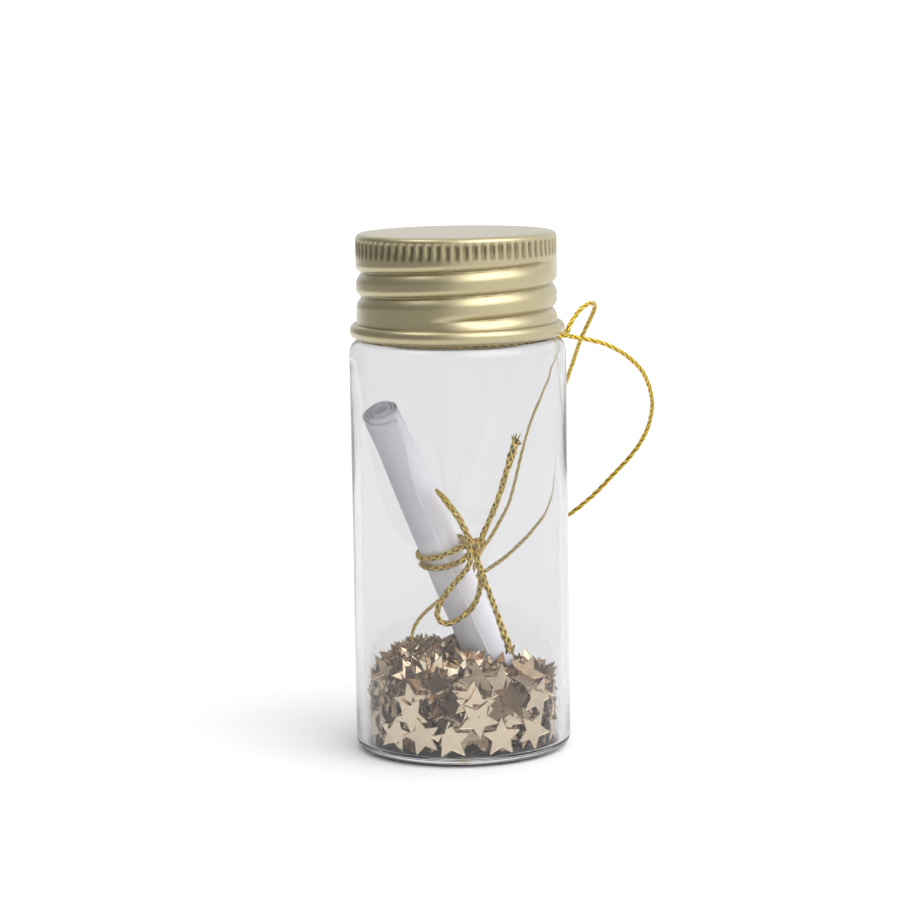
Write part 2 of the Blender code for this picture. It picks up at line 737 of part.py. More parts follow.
def buried_stars(chance):
    """Sequins of the heap's inside whose points stand out of it, joined as one tool."""
    mesh = star_mesh("buried_star", None)
    shape = bmesh.new()
    for row in range(buried_star_rows):
        height = heap_edge_height * (row + 1) / (buried_star_rows + 1)
        for i in range(buried_stars_per_row):
            angle = tau * (i + row / buried_star_rows) / buried_stars_per_row
            radius = heap_radius - star_tip_radius + buried_star_reach
            turn = Matrix.Rotation(angle, 4, "Z") @ Matrix.Translation((radius, 0, height))
            lean = Matrix.Rotation(chance.uniform(-buried_star_lean, buried_star_lean), 4, "X")
            spin = Matrix.Rotation(-math.pi / 2, 4, "Z")
            before = len(shape.verts)
            shape.from_mesh(mesh)
            shape.verts.ensure_lookup_table()
            bmesh.ops.transform(shape, matrix=turn @ lean @ spin, verts=shape.verts[before:])
    joined = bpy.data.meshes.new("buried_stars")
    shape.to_mesh(joined)
    shape.free()
    bpy.data.meshes.remove(mesh)
    item = add_object("buried_stars", joined, None, cutters)
    hide_cutter(item)
    return item


def scroll_socket():
    """The room that the scroll takes in the heap."""
    frame = scroll_frame()
    shape = bmesh.new()
    overrun = heap_crown_height
    low_radius = scroll_foot_radius + scroll_collar_gap + paper_thickness
    bmesh.ops.create_cone(shape, cap_ends=True, segments=heap_facets // 2, radius1=low_radius,
                          radius2=low_radius, depth=2 * overrun + scroll_length / 2,
                          matrix=frame @ Matrix.Translation((0, 0, scroll_length / 4)))
    mesh = bpy.data.meshes.new("scroll_socket")
    shape.to_mesh(mesh)
    shape.free()
    item = add_object("scroll_socket", mesh, None, cutters)
    hide_cutter(item)
    return item


def star_heap(chance):
    """The heap's inside: the buried sequins as one body, with a socket for the scroll."""
    top = [(heap_radius * i / heap_ring_steps, heap_height(heap_radius * i / heap_ring_steps))
           for i in range(heap_ring_steps + 1)]
    low = floor_thickness + heap_floor_gap
    foot = arc((heap_radius - heap_foot_round, low + heap_foot_round), heap_foot_round,
               0, front_angle, arc_steps)
    heap = turned("star_heap", top + foot + [(0, low)], heap_facets, buried_sequin)
    boolean(heap, buried_stars(chance), "UNION")
    boolean(heap, scroll_socket(), "DIFFERENCE")
    return heap


chance = random.Random(star_seed)
glass_vial()
screw_cap()
cap_liner()
paper_scroll()
tie_winding()
tie_knot()
bow_cord("tie_bow_low_loop", bow_low_loop_route, tie_points)
bow_cord("tie_bow_high_loop", bow_high_loop_route, tie_points)
bow_cord("tie_tail_high", bow_high_tail_route, tie_points // 2)
bow_cord("tie_tail_low", bow_low_tail_route, tie_points // 2)
hanger_neck_loop()
hanger_loop()
sequin = star_mesh("sequin", gold_sequin)
wall_stars(sequin, chance)
top_stars(sequin, chance)
star_heap(chance)
bpy.context.view_layer.update()
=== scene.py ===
import math
import random

import bmesh
import bpy
from mathutils import Matrix, Vector, noise
from mathutils.geometry import interpolate_bezier


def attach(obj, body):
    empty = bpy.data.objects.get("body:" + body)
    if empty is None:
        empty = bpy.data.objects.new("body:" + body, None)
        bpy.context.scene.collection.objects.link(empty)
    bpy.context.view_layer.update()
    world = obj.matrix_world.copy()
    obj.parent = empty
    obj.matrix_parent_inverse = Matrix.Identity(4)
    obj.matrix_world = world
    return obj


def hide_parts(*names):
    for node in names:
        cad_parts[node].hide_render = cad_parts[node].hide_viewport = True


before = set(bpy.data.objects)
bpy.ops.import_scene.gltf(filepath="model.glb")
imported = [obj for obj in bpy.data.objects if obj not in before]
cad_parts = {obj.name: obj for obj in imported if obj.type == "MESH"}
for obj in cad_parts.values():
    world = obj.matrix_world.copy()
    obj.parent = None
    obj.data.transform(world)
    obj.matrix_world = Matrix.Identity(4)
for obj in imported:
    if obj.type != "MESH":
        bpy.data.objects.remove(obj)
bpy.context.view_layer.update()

mm = 0.001
tau = 2 * math.pi


# ---- small tools

def srgb(code, alpha=1.0):
    """A colour written as sRGB hex, turned to the linear value that a socket takes."""
    channels = [int(code[i:i + 2], 16) / 255 for i in (1, 3, 5)]
    linear = [c / 12.92 if c <= 0.04045 else ((c + 0.055) / 1.055) ** 2.4 for c in channels]
    return (*linear, alpha)


def set_up(node, settings):
    """Gives a node its settings: a name is one of its properties or of its sockets."""
    for name, value in settings.items():
        if isinstance(name, str) and name in node.bl_rna.properties:
            setattr(node, name, value)
        else:
            node.inputs[name].default_value = value


def join(tree, node, links):
    """Links a node's inputs. A node given as a source stands for its first output."""
    for name, source in links.items():
        if isinstance(source, bpy.types.Node):
            source = source.outputs[0]
        tree.links.new(source, node.inputs[name])


def add_node(tree, kind, settings=None, links=None):
    """Adds a node with its settings and the links to its inputs."""
    made = tree.nodes.new(kind)
    set_up(made, settings or {})
    join(tree, made, links or {})
    return made


def new_finish(name, settings):
    """An empty material, its Principled shader and the object's coordinates for its patterns."""
    material = bpy.data.materials.new(name)
    material.use_nodes = True
    tree = material.node_tree
    shader = tree.nodes["Principled BSDF"]
    set_up(shader, settings)
    return material, tree, shader, add_node(tree, "ShaderNodeTexCoord").outputs["Object"]


def smooth_step(value, low, high):
    """From 0 at low to 1 at high, level at both ends."""
    share = min(max((value - low) / (high - low), 0.0), 1.0)
    return share * share * (3 - 2 * share)


def arc(centre, radius, first, last, steps):
    """Points of a round stretch between two angles, both ends kept."""
    return [(centre[0] + radius * math.cos(first + (last - first) * i / steps),
             centre[1] + radius * math.sin(first + (last - first) * i / steps))
            for i in range(steps + 1)]


def upright(radius, low, high, step):
    """Points of a straight wall between two heights, both ends left out."""
    count = max(2, round(abs(high - low) / step))
    return [(radius, low + (high - low) * i / count) for i in range(1, count)]


def spun(profile_mm, segments):
    """A closed profile of (radius, height) in millimetres, spun about Z as a bmesh."""
    shape = bmesh.new()
    corners = [shape.verts.new((radius * mm, 0, height * mm)) for radius, height in profile_mm]
    edges = [shape.edges.new(pair) for pair in zip(corners, corners[1:])]
    if profile_mm[0][0] > 0:
        edges.append(shape.edges.new((corners[-1], corners[0])))
    bmesh.ops.spin(shape, geom=corners + edges, cent=(0, 0, 0), axis=(0, 0, 1), dvec=(0, 0, 0),
                   angle=tau, steps=segments, use_merge=True)
    bmesh.ops.remove_doubles(shape, verts=shape.verts, dist=0.001 * mm)
    bmesh.ops.recalc_face_normals(shape, faces=shape.faces)
    return shape


def linked(name, data):
    """A new object of this data in the scene, at the origin."""
    item = bpy.data.objects.new(name, data)
    bpy.context.scene.collection.objects.link(item)
    return item


def drawn(name, shape, *materials):
    """Turns a bmesh into a mesh with these materials."""
    mesh = bpy.data.meshes.new(name)
    shape.to_mesh(mesh)
    shape.free()
    for material in materials:
        mesh.materials.append(material)
    return mesh


def placed(name, shape, material, body, sharp_angle=None):
    """Turns a bmesh into a smooth-shaded piece that rides on a body."""
    mesh = drawn(name, shape, material)
    mesh.shade_smooth()
    if sharp_angle is not None:
        mesh.set_sharp_from_angle(angle=sharp_angle)
    item = linked(name, mesh)
    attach(item, body)
    return item


def smooth_route(points, count):
    """Evenly spaced points on one smooth curve through the chosen points, as in the solids."""
    knots = [Vector(point) for point in points]
    dense = []
    for i in range(len(knots) - 1):
        before = knots[max(i - 1, 0)]
        after = knots[min(i + 2, len(knots) - 1)]
        piece = interpolate_bezier(knots[i], knots[i] + (knots[i + 1] - before) / 6,
                                   knots[i + 1] - (after - knots[i]) / 6, knots[i + 1], 16)
        dense.extend(piece if i == 0 else piece[1:])
    reach = [0.0]
    for near, far in zip(dense, dense[1:]):
        reach.append(reach[-1] + (far - near).length)
    even = []
    place = 0
    for i in range(count):
        wanted = reach[-1] * i / (count - 1)
        while place < len(dense) - 2 and reach[place + 1] < wanted:
            place += 1
        share = (wanted - reach[place]) / (reach[place + 1] - reach[place])
        even.append(dense[place].lerp(dense[place + 1], min(share, 1.0)))
    return even


def route_length(points):
    return sum((far - near).length for near, far in zip(points, points[1:]))


# ---- finishes

def clear_soda_glass():
    """Drawn soda-lime tube: colourless, faintly grey in its thickness, slightly wavy."""
    material, tree, glass, place = new_finish("clear_soda_glass_drawn", {
        "Base Color": srgb("#EAEAEB"), "Roughness": 0.0, "IOR": 1.52, "Transmission Weight": 1.0})
    # drawing leaves waves a few millimetres wide that run up the tube
    stretch = add_node(tree, "ShaderNodeMapping", {"Scale": (1.0, 1.0, 0.25)}, {"Vector": place})
    waves = add_node(tree, "ShaderNodeTexNoise", {"Scale": 160.0, "Detail": 1.0, "Roughness": 0.4},
                     {"Vector": stretch})
    wavy = add_node(tree, "ShaderNodeBump", {"Strength": 0.5, "Distance": 0.0001}, {"Height": waves})
    join(tree, glass, {"Normal": wavy})
    return material


def gold_lacquered_aluminium():
    """Aluminium sheet under gold stoving lacquer: satin metal, a clear coat, fine grain."""
    material, tree, lacquer, place = new_finish("gold_lacquered_aluminium_satin", {
        "Metallic": 1.0, "Coat Weight": 0.7, "Coat Roughness": 0.25, "Coat IOR": 1.6})
    # the lacquer's grain, drawn at 0.25 mm, about as coarse as it shows at this distance
    grain = add_node(tree, "ShaderNodeTexNoise", {"Scale": 4000.0, "Detail": 2.0, "Roughness": 0.6},
                     {"Vector": place})
    cloud = add_node(tree, "ShaderNodeTexNoise", {"Scale": 260.0, "Detail": 3.0, "Roughness": 0.55},
                     {"Vector": place})
    tone = add_node(tree, "ShaderNodeMix",
                    {"data_type": "RGBA", 6: srgb("#B9AD85"), 7: srgb("#C8BD98")}, {0: grain})
    # painted shade: the lacquer's colour is darkened towards a dark olive in the flutes, in the groove's
    # notch and at the skirt's foot above the hem, where shade falls
    shade_layer = add_node(tree, "ShaderNodeAttribute", {"attribute_name": "painted_hollow_shade"})
    painted_shade = add_node(tree, "ShaderNodeMix", {"data_type": "RGBA", 7: srgb("#6E6240")},
                      {0: shade_layer.outputs["Fac"], 6: tone.outputs[2]})
    rough = add_node(tree, "ShaderNodeMapRange", {"To Min": 0.30, "To Max": 0.42}, {"Value": cloud})
    peel = add_node(tree, "ShaderNodeBump", {"Strength": 0.35, "Distance": 0.00001}, {"Height": grain})
    join(tree, lacquer, {"Base Color": painted_shade.outputs[2], "Roughness": rough, "Normal": peel})
    return material


def liner_foam():
    """Expanded polyethylene foam: matt off-white with closed cells of about 0.2 mm."""
    material, tree, foam, place = new_finish("polyethylene_foam_closed_cell", {"Roughness": 0.8})
    cells = add_node(tree, "ShaderNodeTexVoronoi", {"Scale": 5000.0}, {"Vector": place})
    tone = add_node(tree, "ShaderNodeMix",
                    {"data_type": "RGBA", 6: srgb("#F4F2EC"), 7: srgb("#DAD7CF")}, {0: cells})
    dimples = add_node(tree, "ShaderNodeBump", {"Strength": 0.5, "Distance": 0.00004}, {"Height": cells})
    join(tree, foam, {"Base Color": tone.outputs[2], "Normal": dimples})
    return material


def writing_paper():
    """Uncoated writing paper: matt, cool white, with cloudy formation and fine fibres."""
    material, tree, paper, place = new_finish("uncoated_paper_matt", {
        "Roughness": 0.9, "Specular IOR Level": 0.25})
    cloud = add_node(tree, "ShaderNodeTexNoise", {"Scale": 420.0, "Detail": 4.0, "Roughness": 0.6},
                     {"Vector": place})
    fibres = add_node(tree, "ShaderNodeTexNoise", {"Scale": 5200.0, "Detail": 2.0, "Distortion": 1.5},
                      {"Vector": place})
    tone = add_node(tree, "ShaderNodeMix",
                    {"data_type": "RGBA", 6: srgb("#EFEDF4"), 7: srgb("#F8F7FB")}, {0: cloud})
    tooth = add_node(tree, "ShaderNodeBump", {"Strength": 0.25, "Distance": 0.00002}, {"Height": fibres})
    join(tree, paper, {"Base Color": tone.outputs[2], "Normal": tooth})
    return material


def metallic_thread(name, pale, deep, crease_shade, roughness):
    """Metallised film wound on a thread: bright gold facets that glint one by one, pale patches of painted
    glint, and dark creases of painted shade.
    """
    material, tree, thread, place = new_finish(name, {"Metallic": 1.0})
    # the film's creases, 0.15 to 0.3 mm apart
    creases = add_node(tree, "ShaderNodeTexVoronoi", {"Scale": 4200.0}, {"Vector": place})
    # painted glints: the film's tone runs between deep and pale gold in patches about 0.4 mm across, so the
    # pale ones read as glints; the same noise varies the roughness
    shimmer = add_node(tree, "ShaderNodeTexNoise", {"Scale": 2600.0, "Detail": 2.0}, {"Vector": place})
    tone = add_node(tree, "ShaderNodeMix", {"data_type": "RGBA", 6: srgb(deep), 7: srgb(pale)},
                    {0: shimmer})
    # painted shade: a strand's sides and back, which lie in the gaps of the cord where little light comes,
    # are coloured towards the dark crease shade
    facing = add_node(tree, "ShaderNodeAttribute", {"attribute_name": "strand_face"})
    open_share = add_node(tree, "ShaderNodeMapRange", {"From Min": -0.35, "From Max": 0.55},
                          {"Value": facing.outputs["Fac"]})
    shaded = add_node(tree, "ShaderNodeMix", {"data_type": "RGBA", 6: srgb(crease_shade)},
                      {0: open_share, 7: tone.outputs[2]})
    rough = add_node(tree, "ShaderNodeMapRange",
                     {"To Min": roughness * 0.6, "To Max": roughness * 1.4}, {"Value": shimmer})
    facets = add_node(tree, "ShaderNodeBump", {"Strength": 0.9, "Distance": 0.00012}, {"Height": creases})
    join(tree, thread, {"Base Color": shaded.outputs[2], "Roughness": rough, "Normal": facets})
    return material


def core_yarn():
    """The braid's polyester core: dull olive brown, seen in the gaps between the strands."""
    material, tree, yarn, place = new_finish("polyester_core_yarn", {"Roughness": 0.75})
    fuzz = add_node(tree, "ShaderNodeTexNoise", {"Scale": 6000.0, "Detail": 2.0}, {"Vector": place})
    tone = add_node(tree, "ShaderNodeMix",
                    {"data_type": "RGBA", 6: srgb("#4A3A12"), 7: srgb("#86701F")}, {0: fuzz})
    join(tree, yarn, {"Base Color": tone.outputs[2]})
    return material


def sequin_foil(name, pale, deep, roughness):
    """Punched champagne foil: mirror-like, faintly brushed, each star of its own tint, with painted shade
    that darkens some stars.
    """
    material, tree, foil, place = new_finish(name, {"Metallic": 1.0})
    # painted shade: each star's value mixes its own tint with darkening for stars inside the heap, low
    # behind the front row and some that look dark at the front
    tint_and_shade = add_node(tree, "ShaderNodeAttribute", {"attribute_name": "sequin_tint_and_shade"})
    tone = add_node(tree, "ShaderNodeMix", {"data_type": "RGBA", 6: srgb(deep), 7: srgb(pale)},
                    {0: tint_and_shade.outputs["Fac"]})
    # rolling lines of the foil, about 0.3 mm apart
    streaks = add_node(tree, "ShaderNodeTexNoise", {"Scale": 3500.0, "Detail": 2.0}, {"Vector": place})
    rough = add_node(tree, "ShaderNodeMapRange",
                     {"To Min": roughness * 0.7, "To Max": roughness * 1.3}, {"Value": streaks})
    brushed = add_node(tree, "ShaderNodeBump", {"Strength": 0.15, "Distance": 0.00002},
                       {"Height": streaks})
    # punching leaves each star a little dished, over 2 to 3 mm
    dish = add_node(tree, "ShaderNodeTexNoise", {"Scale": 420.0, "Detail": 1.0}, {"Vector": place})
    dished = add_node(tree, "ShaderNodeBump", {"Strength": 0.6, "Distance": 0.00025},
                      {"Height": dish, "Normal": brushed})
    join(tree, foil, {"Base Color": tone.outputs[2], "Roughness": rough, "Normal": dished})
    return material


glass_finish = clear_soda_glass()
cap_finish = gold_lacquered_aluminium()
liner_finish = liner_foam()
paper_finish = writing_paper()
tie_finish = metallic_thread("gold_film_braid_tie", "#FFEE86", "#E0AC2E", "#44300A", 0.16)
hanger_finish = metallic_thread("gold_film_cord_hanger", "#F8E06A", "#D8AE3C", "#6E5310", 0.24)
core_finish = core_yarn()
star_finish = sequin_foil("champagne_foil_punched", "#FFEDD0", "#7C5C3B", 0.17)
star_edge_finish = sequin_foil("champagne_foil_cut_edge", "#FFEBCB", "#97724B", 0.30)


# ---- camera

lens_mm = 121.98
film_width_mm = 36.0
camera_place = (0, -0.419105, 0.100135)
camera_pitch = math.radians(7.936)
camera_yaw = math.radians(-0.174)
camera_roll = math.radians(0.951)


def place_camera():
    """The photograph's camera, fitted to it: a long lens at 0.42 m, a little above the cap."""
    lens = bpy.data.cameras.new("photo_camera")
    lens.lens = lens_mm
    lens.sensor_width = film_width_mm
    lens.clip_start = 0.02
    lens.clip_end = 50.0
    camera = linked("photo_camera", lens)
    camera.matrix_world = (Matrix.Translation(camera_place)
                           @ Matrix.Rotation(-camera_yaw, 4, "Z")
                           @ Matrix.Rotation(math.pi / 2 - camera_pitch, 4, "X")
                           @ Matrix.Rotation(-camera_roll, 4, "Z"))
    bpy.context.scene.camera = camera


place_camera()


# ---- cords

def carried_axes(points):
    """Tangent, side and lift at each point of a route, carried along it without twist."""
    tangents = []
    for i in range(len(points)):
        near = points[max(i - 1, 0)]
        far = points[min(i + 1, len(points) - 1)]
        tangents.append((far - near).normalized())
    side = tangents[0].cross(Vector((0, 0, 1)))
    if side.length < 0.1:
        side = tangents[0].cross(Vector((1, 0, 0)))
    side.normalize()
    axes = []
    for tangent in tangents:
        side = (side - tangent * side.dot(tangent)).normalized()
        axes.append((tangent, side, tangent.cross(side)))
    return axes


def tubes(name, strands, level, material, body):
    """Round strands as one mesh made by a bevelled curve. A strand is a list of (point, radius,
    way out of the cord); the mesh keeps in strand_face how far each spot faces out of the cord."""
    curve = bpy.data.curves.new(name, "CURVE")
    curve.dimensions = "3D"
    curve.bevel_depth = 1.0
    curve.bevel_resolution = level
    for strand in strands:
        spline = curve.splines.new("POLY")
        spline.points.add(len(strand) - 1)
        for target, (point, radius, _) in zip(spline.points, strand):
            target.co = (*point, 1.0)
            target.radius = radius
    guide = linked(name + "_guide", curve)
    mesh = bpy.data.meshes.new_from_object(guide)
    bpy.data.objects.remove(guide)
    bpy.data.curves.remove(curve)
    stations = [station for strand in strands for station in strand]
    around = len(mesh.vertices) // len(stations)
    facing = mesh.attributes.new("strand_face", "FLOAT", "POINT")
    for corner, face in zip(mesh.vertices, facing.data):
        point, radius, way_out = stations[corner.index // around]
        face.value = (corner.co - point).dot(way_out) / radius
    shape = bmesh.new()
    shape.from_mesh(mesh)
    bpy.data.meshes.remove(mesh)
    bmesh.ops.holes_fill(shape, edges=[edge for edge in shape.edges if edge.is_boundary], sides=0)
    bmesh.ops.recalc_face_normals(shape, faces=shape.faces)
    return placed(name, shape, material, body)


def wander(along, spacing, seed):
    """A slow drift between -1 and 1 along a cord, its waves about one spacing long."""
    return noise.noise(Vector((along / spacing, seed, 0)))


braid_stray_spacing = 0.9 * mm
ply_stray_spacing = 1.1 * mm
slack_spacing = 4 * mm


def braided(route, diameter, strands_each_way, pitch, strand_share, step, chance):
    """Strands that wind both ways round a route and pass over and under each other."""
    count = max(8, round(route_length(route) / step))
    points = smooth_route(route, count)
    axes = carried_axes(points)
    span = route_length(points)
    strand_radius = diameter * strand_share / 2
    made = []
    for way in (1, -1):
        for number in range(strands_each_way):
            start = tau * (number + (0.5 if way < 0 else 0.0)) / strands_each_way
            unrest = chance.uniform(0, 100)
            strand = []
            for i, (point, (_, side, lift)) in enumerate(zip(points, axes)):
                along = span * i / (count - 1)
                turn = start + way * tau * along / pitch
                weave = way * math.cos(tau * along * strands_each_way / pitch + math.pi * number)
                stray = wander(along, braid_stray_spacing, unrest)
                reach = diameter / 2 - strand_radius * (1.35 - 0.35 * weave - 0.2 * stray)
                way_out = side * math.cos(turn) + lift * math.sin(turn)
                strand.append((point + way_out * reach, strand_radius * (1 + 0.15 * stray), way_out))
            made.append(strand)
    return points, made


def twisted(points, diameter, plies, pitch, ply_share, chance):
    """Plies twisted round a route, with a little slack from place to place."""
    axes = carried_axes(points)
    step = route_length(points) / (len(points) - 1)
    ply_radius = diameter * ply_share / 2
    made = []
    for number in range(plies):
        unrest = chance.uniform(0, 100)
        strand = []
        for i, (point, (_, side, lift)) in enumerate(zip(points, axes)):
            along = step * i
            turn = tau * number / plies + tau * along / pitch
            turn += 0.7 * wander(along, slack_spacing, 7.0)
            stray = wander(along, ply_stray_spacing, unrest)
            reach = (diameter / 2 - ply_radius) * (1 + 0.2 * stray)
            way_out = side * math.cos(turn) + lift * math.sin(turn)
            strand.append((point + way_out * reach, ply_radius * (1 + 0.12 * stray), way_out))
        made.append(strand)
    return made


cord_diameter = 0.7 * mm
ply_share = 0.52
solid_ledge_height = 57.05 * mm
neck_cord_gap = 0.3 * mm
neck_loop_radius = 13.1 * mm
neck_exit_radius = 15.25 * mm

# The hanging cord's route, as in the solids: out of the neck to the right, round behind
# the vial, down to the table, and back up to the neck
hanger_route = ((0.01555, -0.0026, 0.05752), (0.0171, -0.0023, 0.0572), (0.0186, -0.0016, 0.0568),
                (0.0203, -0.0005, 0.0562), (0.0221, 0.0008, 0.0552), (0.0240, 0.0030, 0.0537),
                (0.0258, 0.0058, 0.0516), (0.0270, 0.0091, 0.0490), (0.0276, 0.0122, 0.0464),
                (0.0275, 0.0150, 0.0437), (0.0268, 0.0175, 0.0410), (0.0252, 0.0202, 0.0379),
                (0.0228, 0.0223, 0.0349), (0.0195, 0.0241, 0.0312), (0.0163, 0.0255, 0.0284),
                (0.0126, 0.0272, 0.0256), (0.0088, 0.0300, 0.0222), (0.0043, 0.0330, 0.0189),
                (0.0001, 0.0357, 0.0162), (-0.0043, 0.0382, 0.0132), (-0.0077, 0.0398, 0.0103),
                (-0.0092, 0.0405, 0.0076), (-0.0092, 0.0405, 0.0048), (-0.0082, 0.0400, 0.0022),
                (-0.0062, 0.0394, 0.0008), (-0.0040, 0.0394, 0.0008), (-0.0016, 0.0400, 0.0022),
                (-0.0003, 0.0412, 0.0050), (0.0006, 0.0424, 0.0104), (0.0016, 0.0422, 0.0155),
                (0.0031, 0.0413, 0.0196), (0.0064, 0.0400, 0.0242), (0.0097, 0.0383, 0.0294),
                (0.0126, 0.0354, 0.0372), (0.0144, 0.0318, 0.0428), (0.0158, 0.0274, 0.0475),
                (0.0168, 0.0222, 0.0514), (0.0176, 0.0172, 0.0548), (0.0186, 0.0138, 0.0576),
                (0.0194, 0.0112, 0.0598), (0.0193, 0.0092, 0.0609), (0.0184, 0.0076, 0.0610),
                (0.0173, 0.0061, 0.0604), (0.0163, 0.0049, 0.0593), (0.0157, 0.0042, 0.0584),
                (0.01540, 0.0038, 0.05752))
hanger_length = 0.184
hanger_pitch = 4.0 * mm
hanger_step = 0.16 * mm


def hanging_cord():
    """The free loop and the stretch round the neck, both of the same three-ply twisted cord."""
    chance = random.Random(3)
    loop_path = smooth_route(hanger_route, round(hanger_length / hanger_step))
    loop = tubes("hanger_cord", twisted(loop_path, cord_diameter, 3, hanger_pitch, ply_share, chance),
                 2, hanger_finish, "vial")
    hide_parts("hanger_loop")
    height = solid_ledge_height + neck_cord_gap + cord_diameter / 2
    # how the cord turns out of the neck: shares of the way out and of the angle it takes
    turn_out = ((1.0, 0.0), (0.62, 0.04), (0.3, 0.19), (0.085, 0.54), (0.0, 1.0))
    first_angle, last_angle = math.radians(80), math.radians(103.8) - tau
    turn = math.radians(13)
    way_out = neck_exit_radius - neck_loop_radius
    first = [(first_angle - turn * along, neck_loop_radius + way_out * out) for out, along in turn_out]
    last = [(last_angle + turn * along, neck_loop_radius + way_out * out)
            for out, along in reversed(turn_out)]
    span = last[0][0] - first[-1][0]
    middle = [(first[-1][0] + span * i / 12, neck_loop_radius) for i in range(1, 12)]
    round_neck = [(radius * math.sin(angle), -radius * math.cos(angle), height)
                  for angle, radius in first + middle + last]
    neck_path = smooth_route([hanger_route[0]] + round_neck + [hanger_route[-1]], 520)
    neck = tubes("neck_cord", twisted(neck_path, cord_diameter, 3, hanger_pitch, ply_share, chance),
                 2, hanger_finish, "vial")
    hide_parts("hanger_neck_loop")


hanging_cord()


# ---- glass vial

body_radius_mm = 15.0
inner_radius_mm = 13.75
glass_floor_mm = 1.25
neck_radius_mm = 12.4
bore_radius_mm = 11.0
ledge_mm = 57.3
rim_mm = 70.35
rim_round_mm = 0.55
root_round_mm = 0.4
inner_heel_round_mm = 0.4
heel_round_mm = 1.6
thinning_low_mm = 36.0
thinning_mm = 0.75
shoulder_low_mm = 54.9
shoulder_bend = 0.85
thread_pitch_mm = 3.3
thread_angle = math.radians(-110)
glass_thread_low_mm = 61.785
glass_thread_turns = 1.595
glass_thread_depth_mm = 0.8
vial_segments = 168


def helix_offset(angle, height, start_angle, start_height, turns, lead_in, lead_out):
    """Height above the nearest turn of a right-hand thread, and how deep that turn is there."""
    best, depth = math.inf, 0.0
    turned = (angle - start_angle) % tau
    while turned <= tau * turns:
        off = height - start_height - thread_pitch_mm * turned / tau
        if abs(off) < abs(best):
            best = off
            depth = smooth_step(turned, 0.0, lead_in) * smooth_step(tau * turns - turned, 0.0, lead_out)
        turned += tau
    return best, depth


def glass_vial():
    """One closed wall: domed base, rounded heel, tube, soft shoulder, neck with its thread, rim."""
    inner_floor = [(0, glass_floor_mm + 0.12), (6, glass_floor_mm + 0.08), (10, glass_floor_mm)]
    inner_heel = arc((inner_radius_mm - inner_heel_round_mm, glass_floor_mm + inner_heel_round_mm),
                     inner_heel_round_mm, -math.pi / 2, 0, 6)
    inner_wall = upright(inner_radius_mm, 2.2, thinning_low_mm, 5.0)
    inner_wall += [(inner_radius_mm + thinning_mm * smooth_step(thinning_low_mm + 1.5 * i,
                                                                thinning_low_mm, shoulder_low_mm),
                    thinning_low_mm + 1.5 * i) for i in range(13)]
    # the shoulder's wall is drawn thin, so that it bends little light
    inner_shoulder = [(13.35 + 1.22 * math.cos(math.pi / 2 * i / 12) ** shoulder_bend,
                       shoulder_low_mm + 2.12 * math.sin(math.pi / 2 * i / 12) ** shoulder_bend)
                      for i in range(1, 13)]
    inner_shoulder += [(12.8, 57.03), (12.2, 57.07), (11.6, 57.27), (11.2, 57.6)]
    bore = upright(bore_radius_mm, 58.0, rim_mm - 0.5, 4.0)
    rim = arc((bore_radius_mm + rim_round_mm, rim_mm - rim_round_mm), rim_round_mm,
              math.pi, math.pi / 2, 6)
    rim += arc((neck_radius_mm - rim_round_mm, rim_mm - rim_round_mm), rim_round_mm, math.pi / 2, 0, 6)
    neck = upright(neck_radius_mm, rim_mm - rim_round_mm, ledge_mm + root_round_mm, 0.19)
    root = arc((neck_radius_mm + root_round_mm, ledge_mm + root_round_mm), root_round_mm,
               math.pi, 3 * math.pi / 2, 4)
    shoulder = [(13.5 + 1.5 * math.cos(math.pi / 2 * (1 - i / 14)) ** shoulder_bend,
                 shoulder_low_mm + 2.4 * math.sin(math.pi / 2 * (1 - i / 14)) ** shoulder_bend)
                for i in range(15)]
    wall = upright(body_radius_mm, shoulder_low_mm, heel_round_mm, 5.0)
    heel = arc((body_radius_mm - heel_round_mm, heel_round_mm), heel_round_mm, 0, -math.pi / 2, 10)
    base = [(10.8, 0.0), (9.6, 0.05), (8.5, 0.18), (6.0, 0.36), (0, 0.4)]
    shape = spun(inner_floor + inner_heel + inner_wall + inner_shoulder + bore + rim + neck + root
                 + shoulder + wall + heel + base, vial_segments)
    # the glass thread starts 0.15 of a turn before the cap's groove
    thread_start = thread_angle - 0.15 * tau
    for corner in shape.verts:
        radius = math.hypot(corner.co.x, corner.co.y) / mm
        height = corner.co.z / mm
        if abs(radius - neck_radius_mm) < 0.02 and ledge_mm + 1.5 < height < rim_mm - 1.0:
            off, depth = helix_offset(math.atan2(corner.co.y, corner.co.x), height, thread_start,
                                      glass_thread_low_mm, glass_thread_turns,
                                      math.radians(25), math.radians(25))
            grown = glass_thread_depth_mm * depth * (1 - smooth_step(abs(off), 0.25, 0.75))
            corner.co.x *= (radius + grown) / radius
            corner.co.y *= (radius + grown) / radius
    vial = placed("vial_glass", shape, glass_finish, "vial")
    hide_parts("glass_vial")


glass_vial()


# ---- cap

cap_radius_mm = 13.85
cap_top_mm = 72.0
cap_wall_mm = 0.3
cap_round_mm = 0.8
knurl_low_mm = 68.9
skirt_low_mm = 59.62
hem_middle_mm = (14.025, 58.63)
hem_half_mm = (0.825, 1.0)
hem_first_deg = 102.2
hem_sweep_deg = 227.2
cap_segments = 630
backing_radius_mm = 12.6
flute_count = 70
flute_radius_mm = 0.42
flute_half_width_mm = 0.37
flute_depth_mm = 0.28
flute_top_mm = 70.85
groove_band_mm = (59.55, 68.7)
groove_depth_mm = 0.75
groove_low_mm = 60.63
groove_turns = 2.25
bead_width_mm = 1.05
flank_width_mm = 1.5


def groove_shape(off):
    """Depth of the rolled groove, 0 to 1: the bead above turns in round, the flank below runs out."""
    if off > 0:
        return max(0.0, 1 - off / bead_width_mm) ** 2.2
    return max(0.0, 1 + off / flank_width_mm) ** 1.8


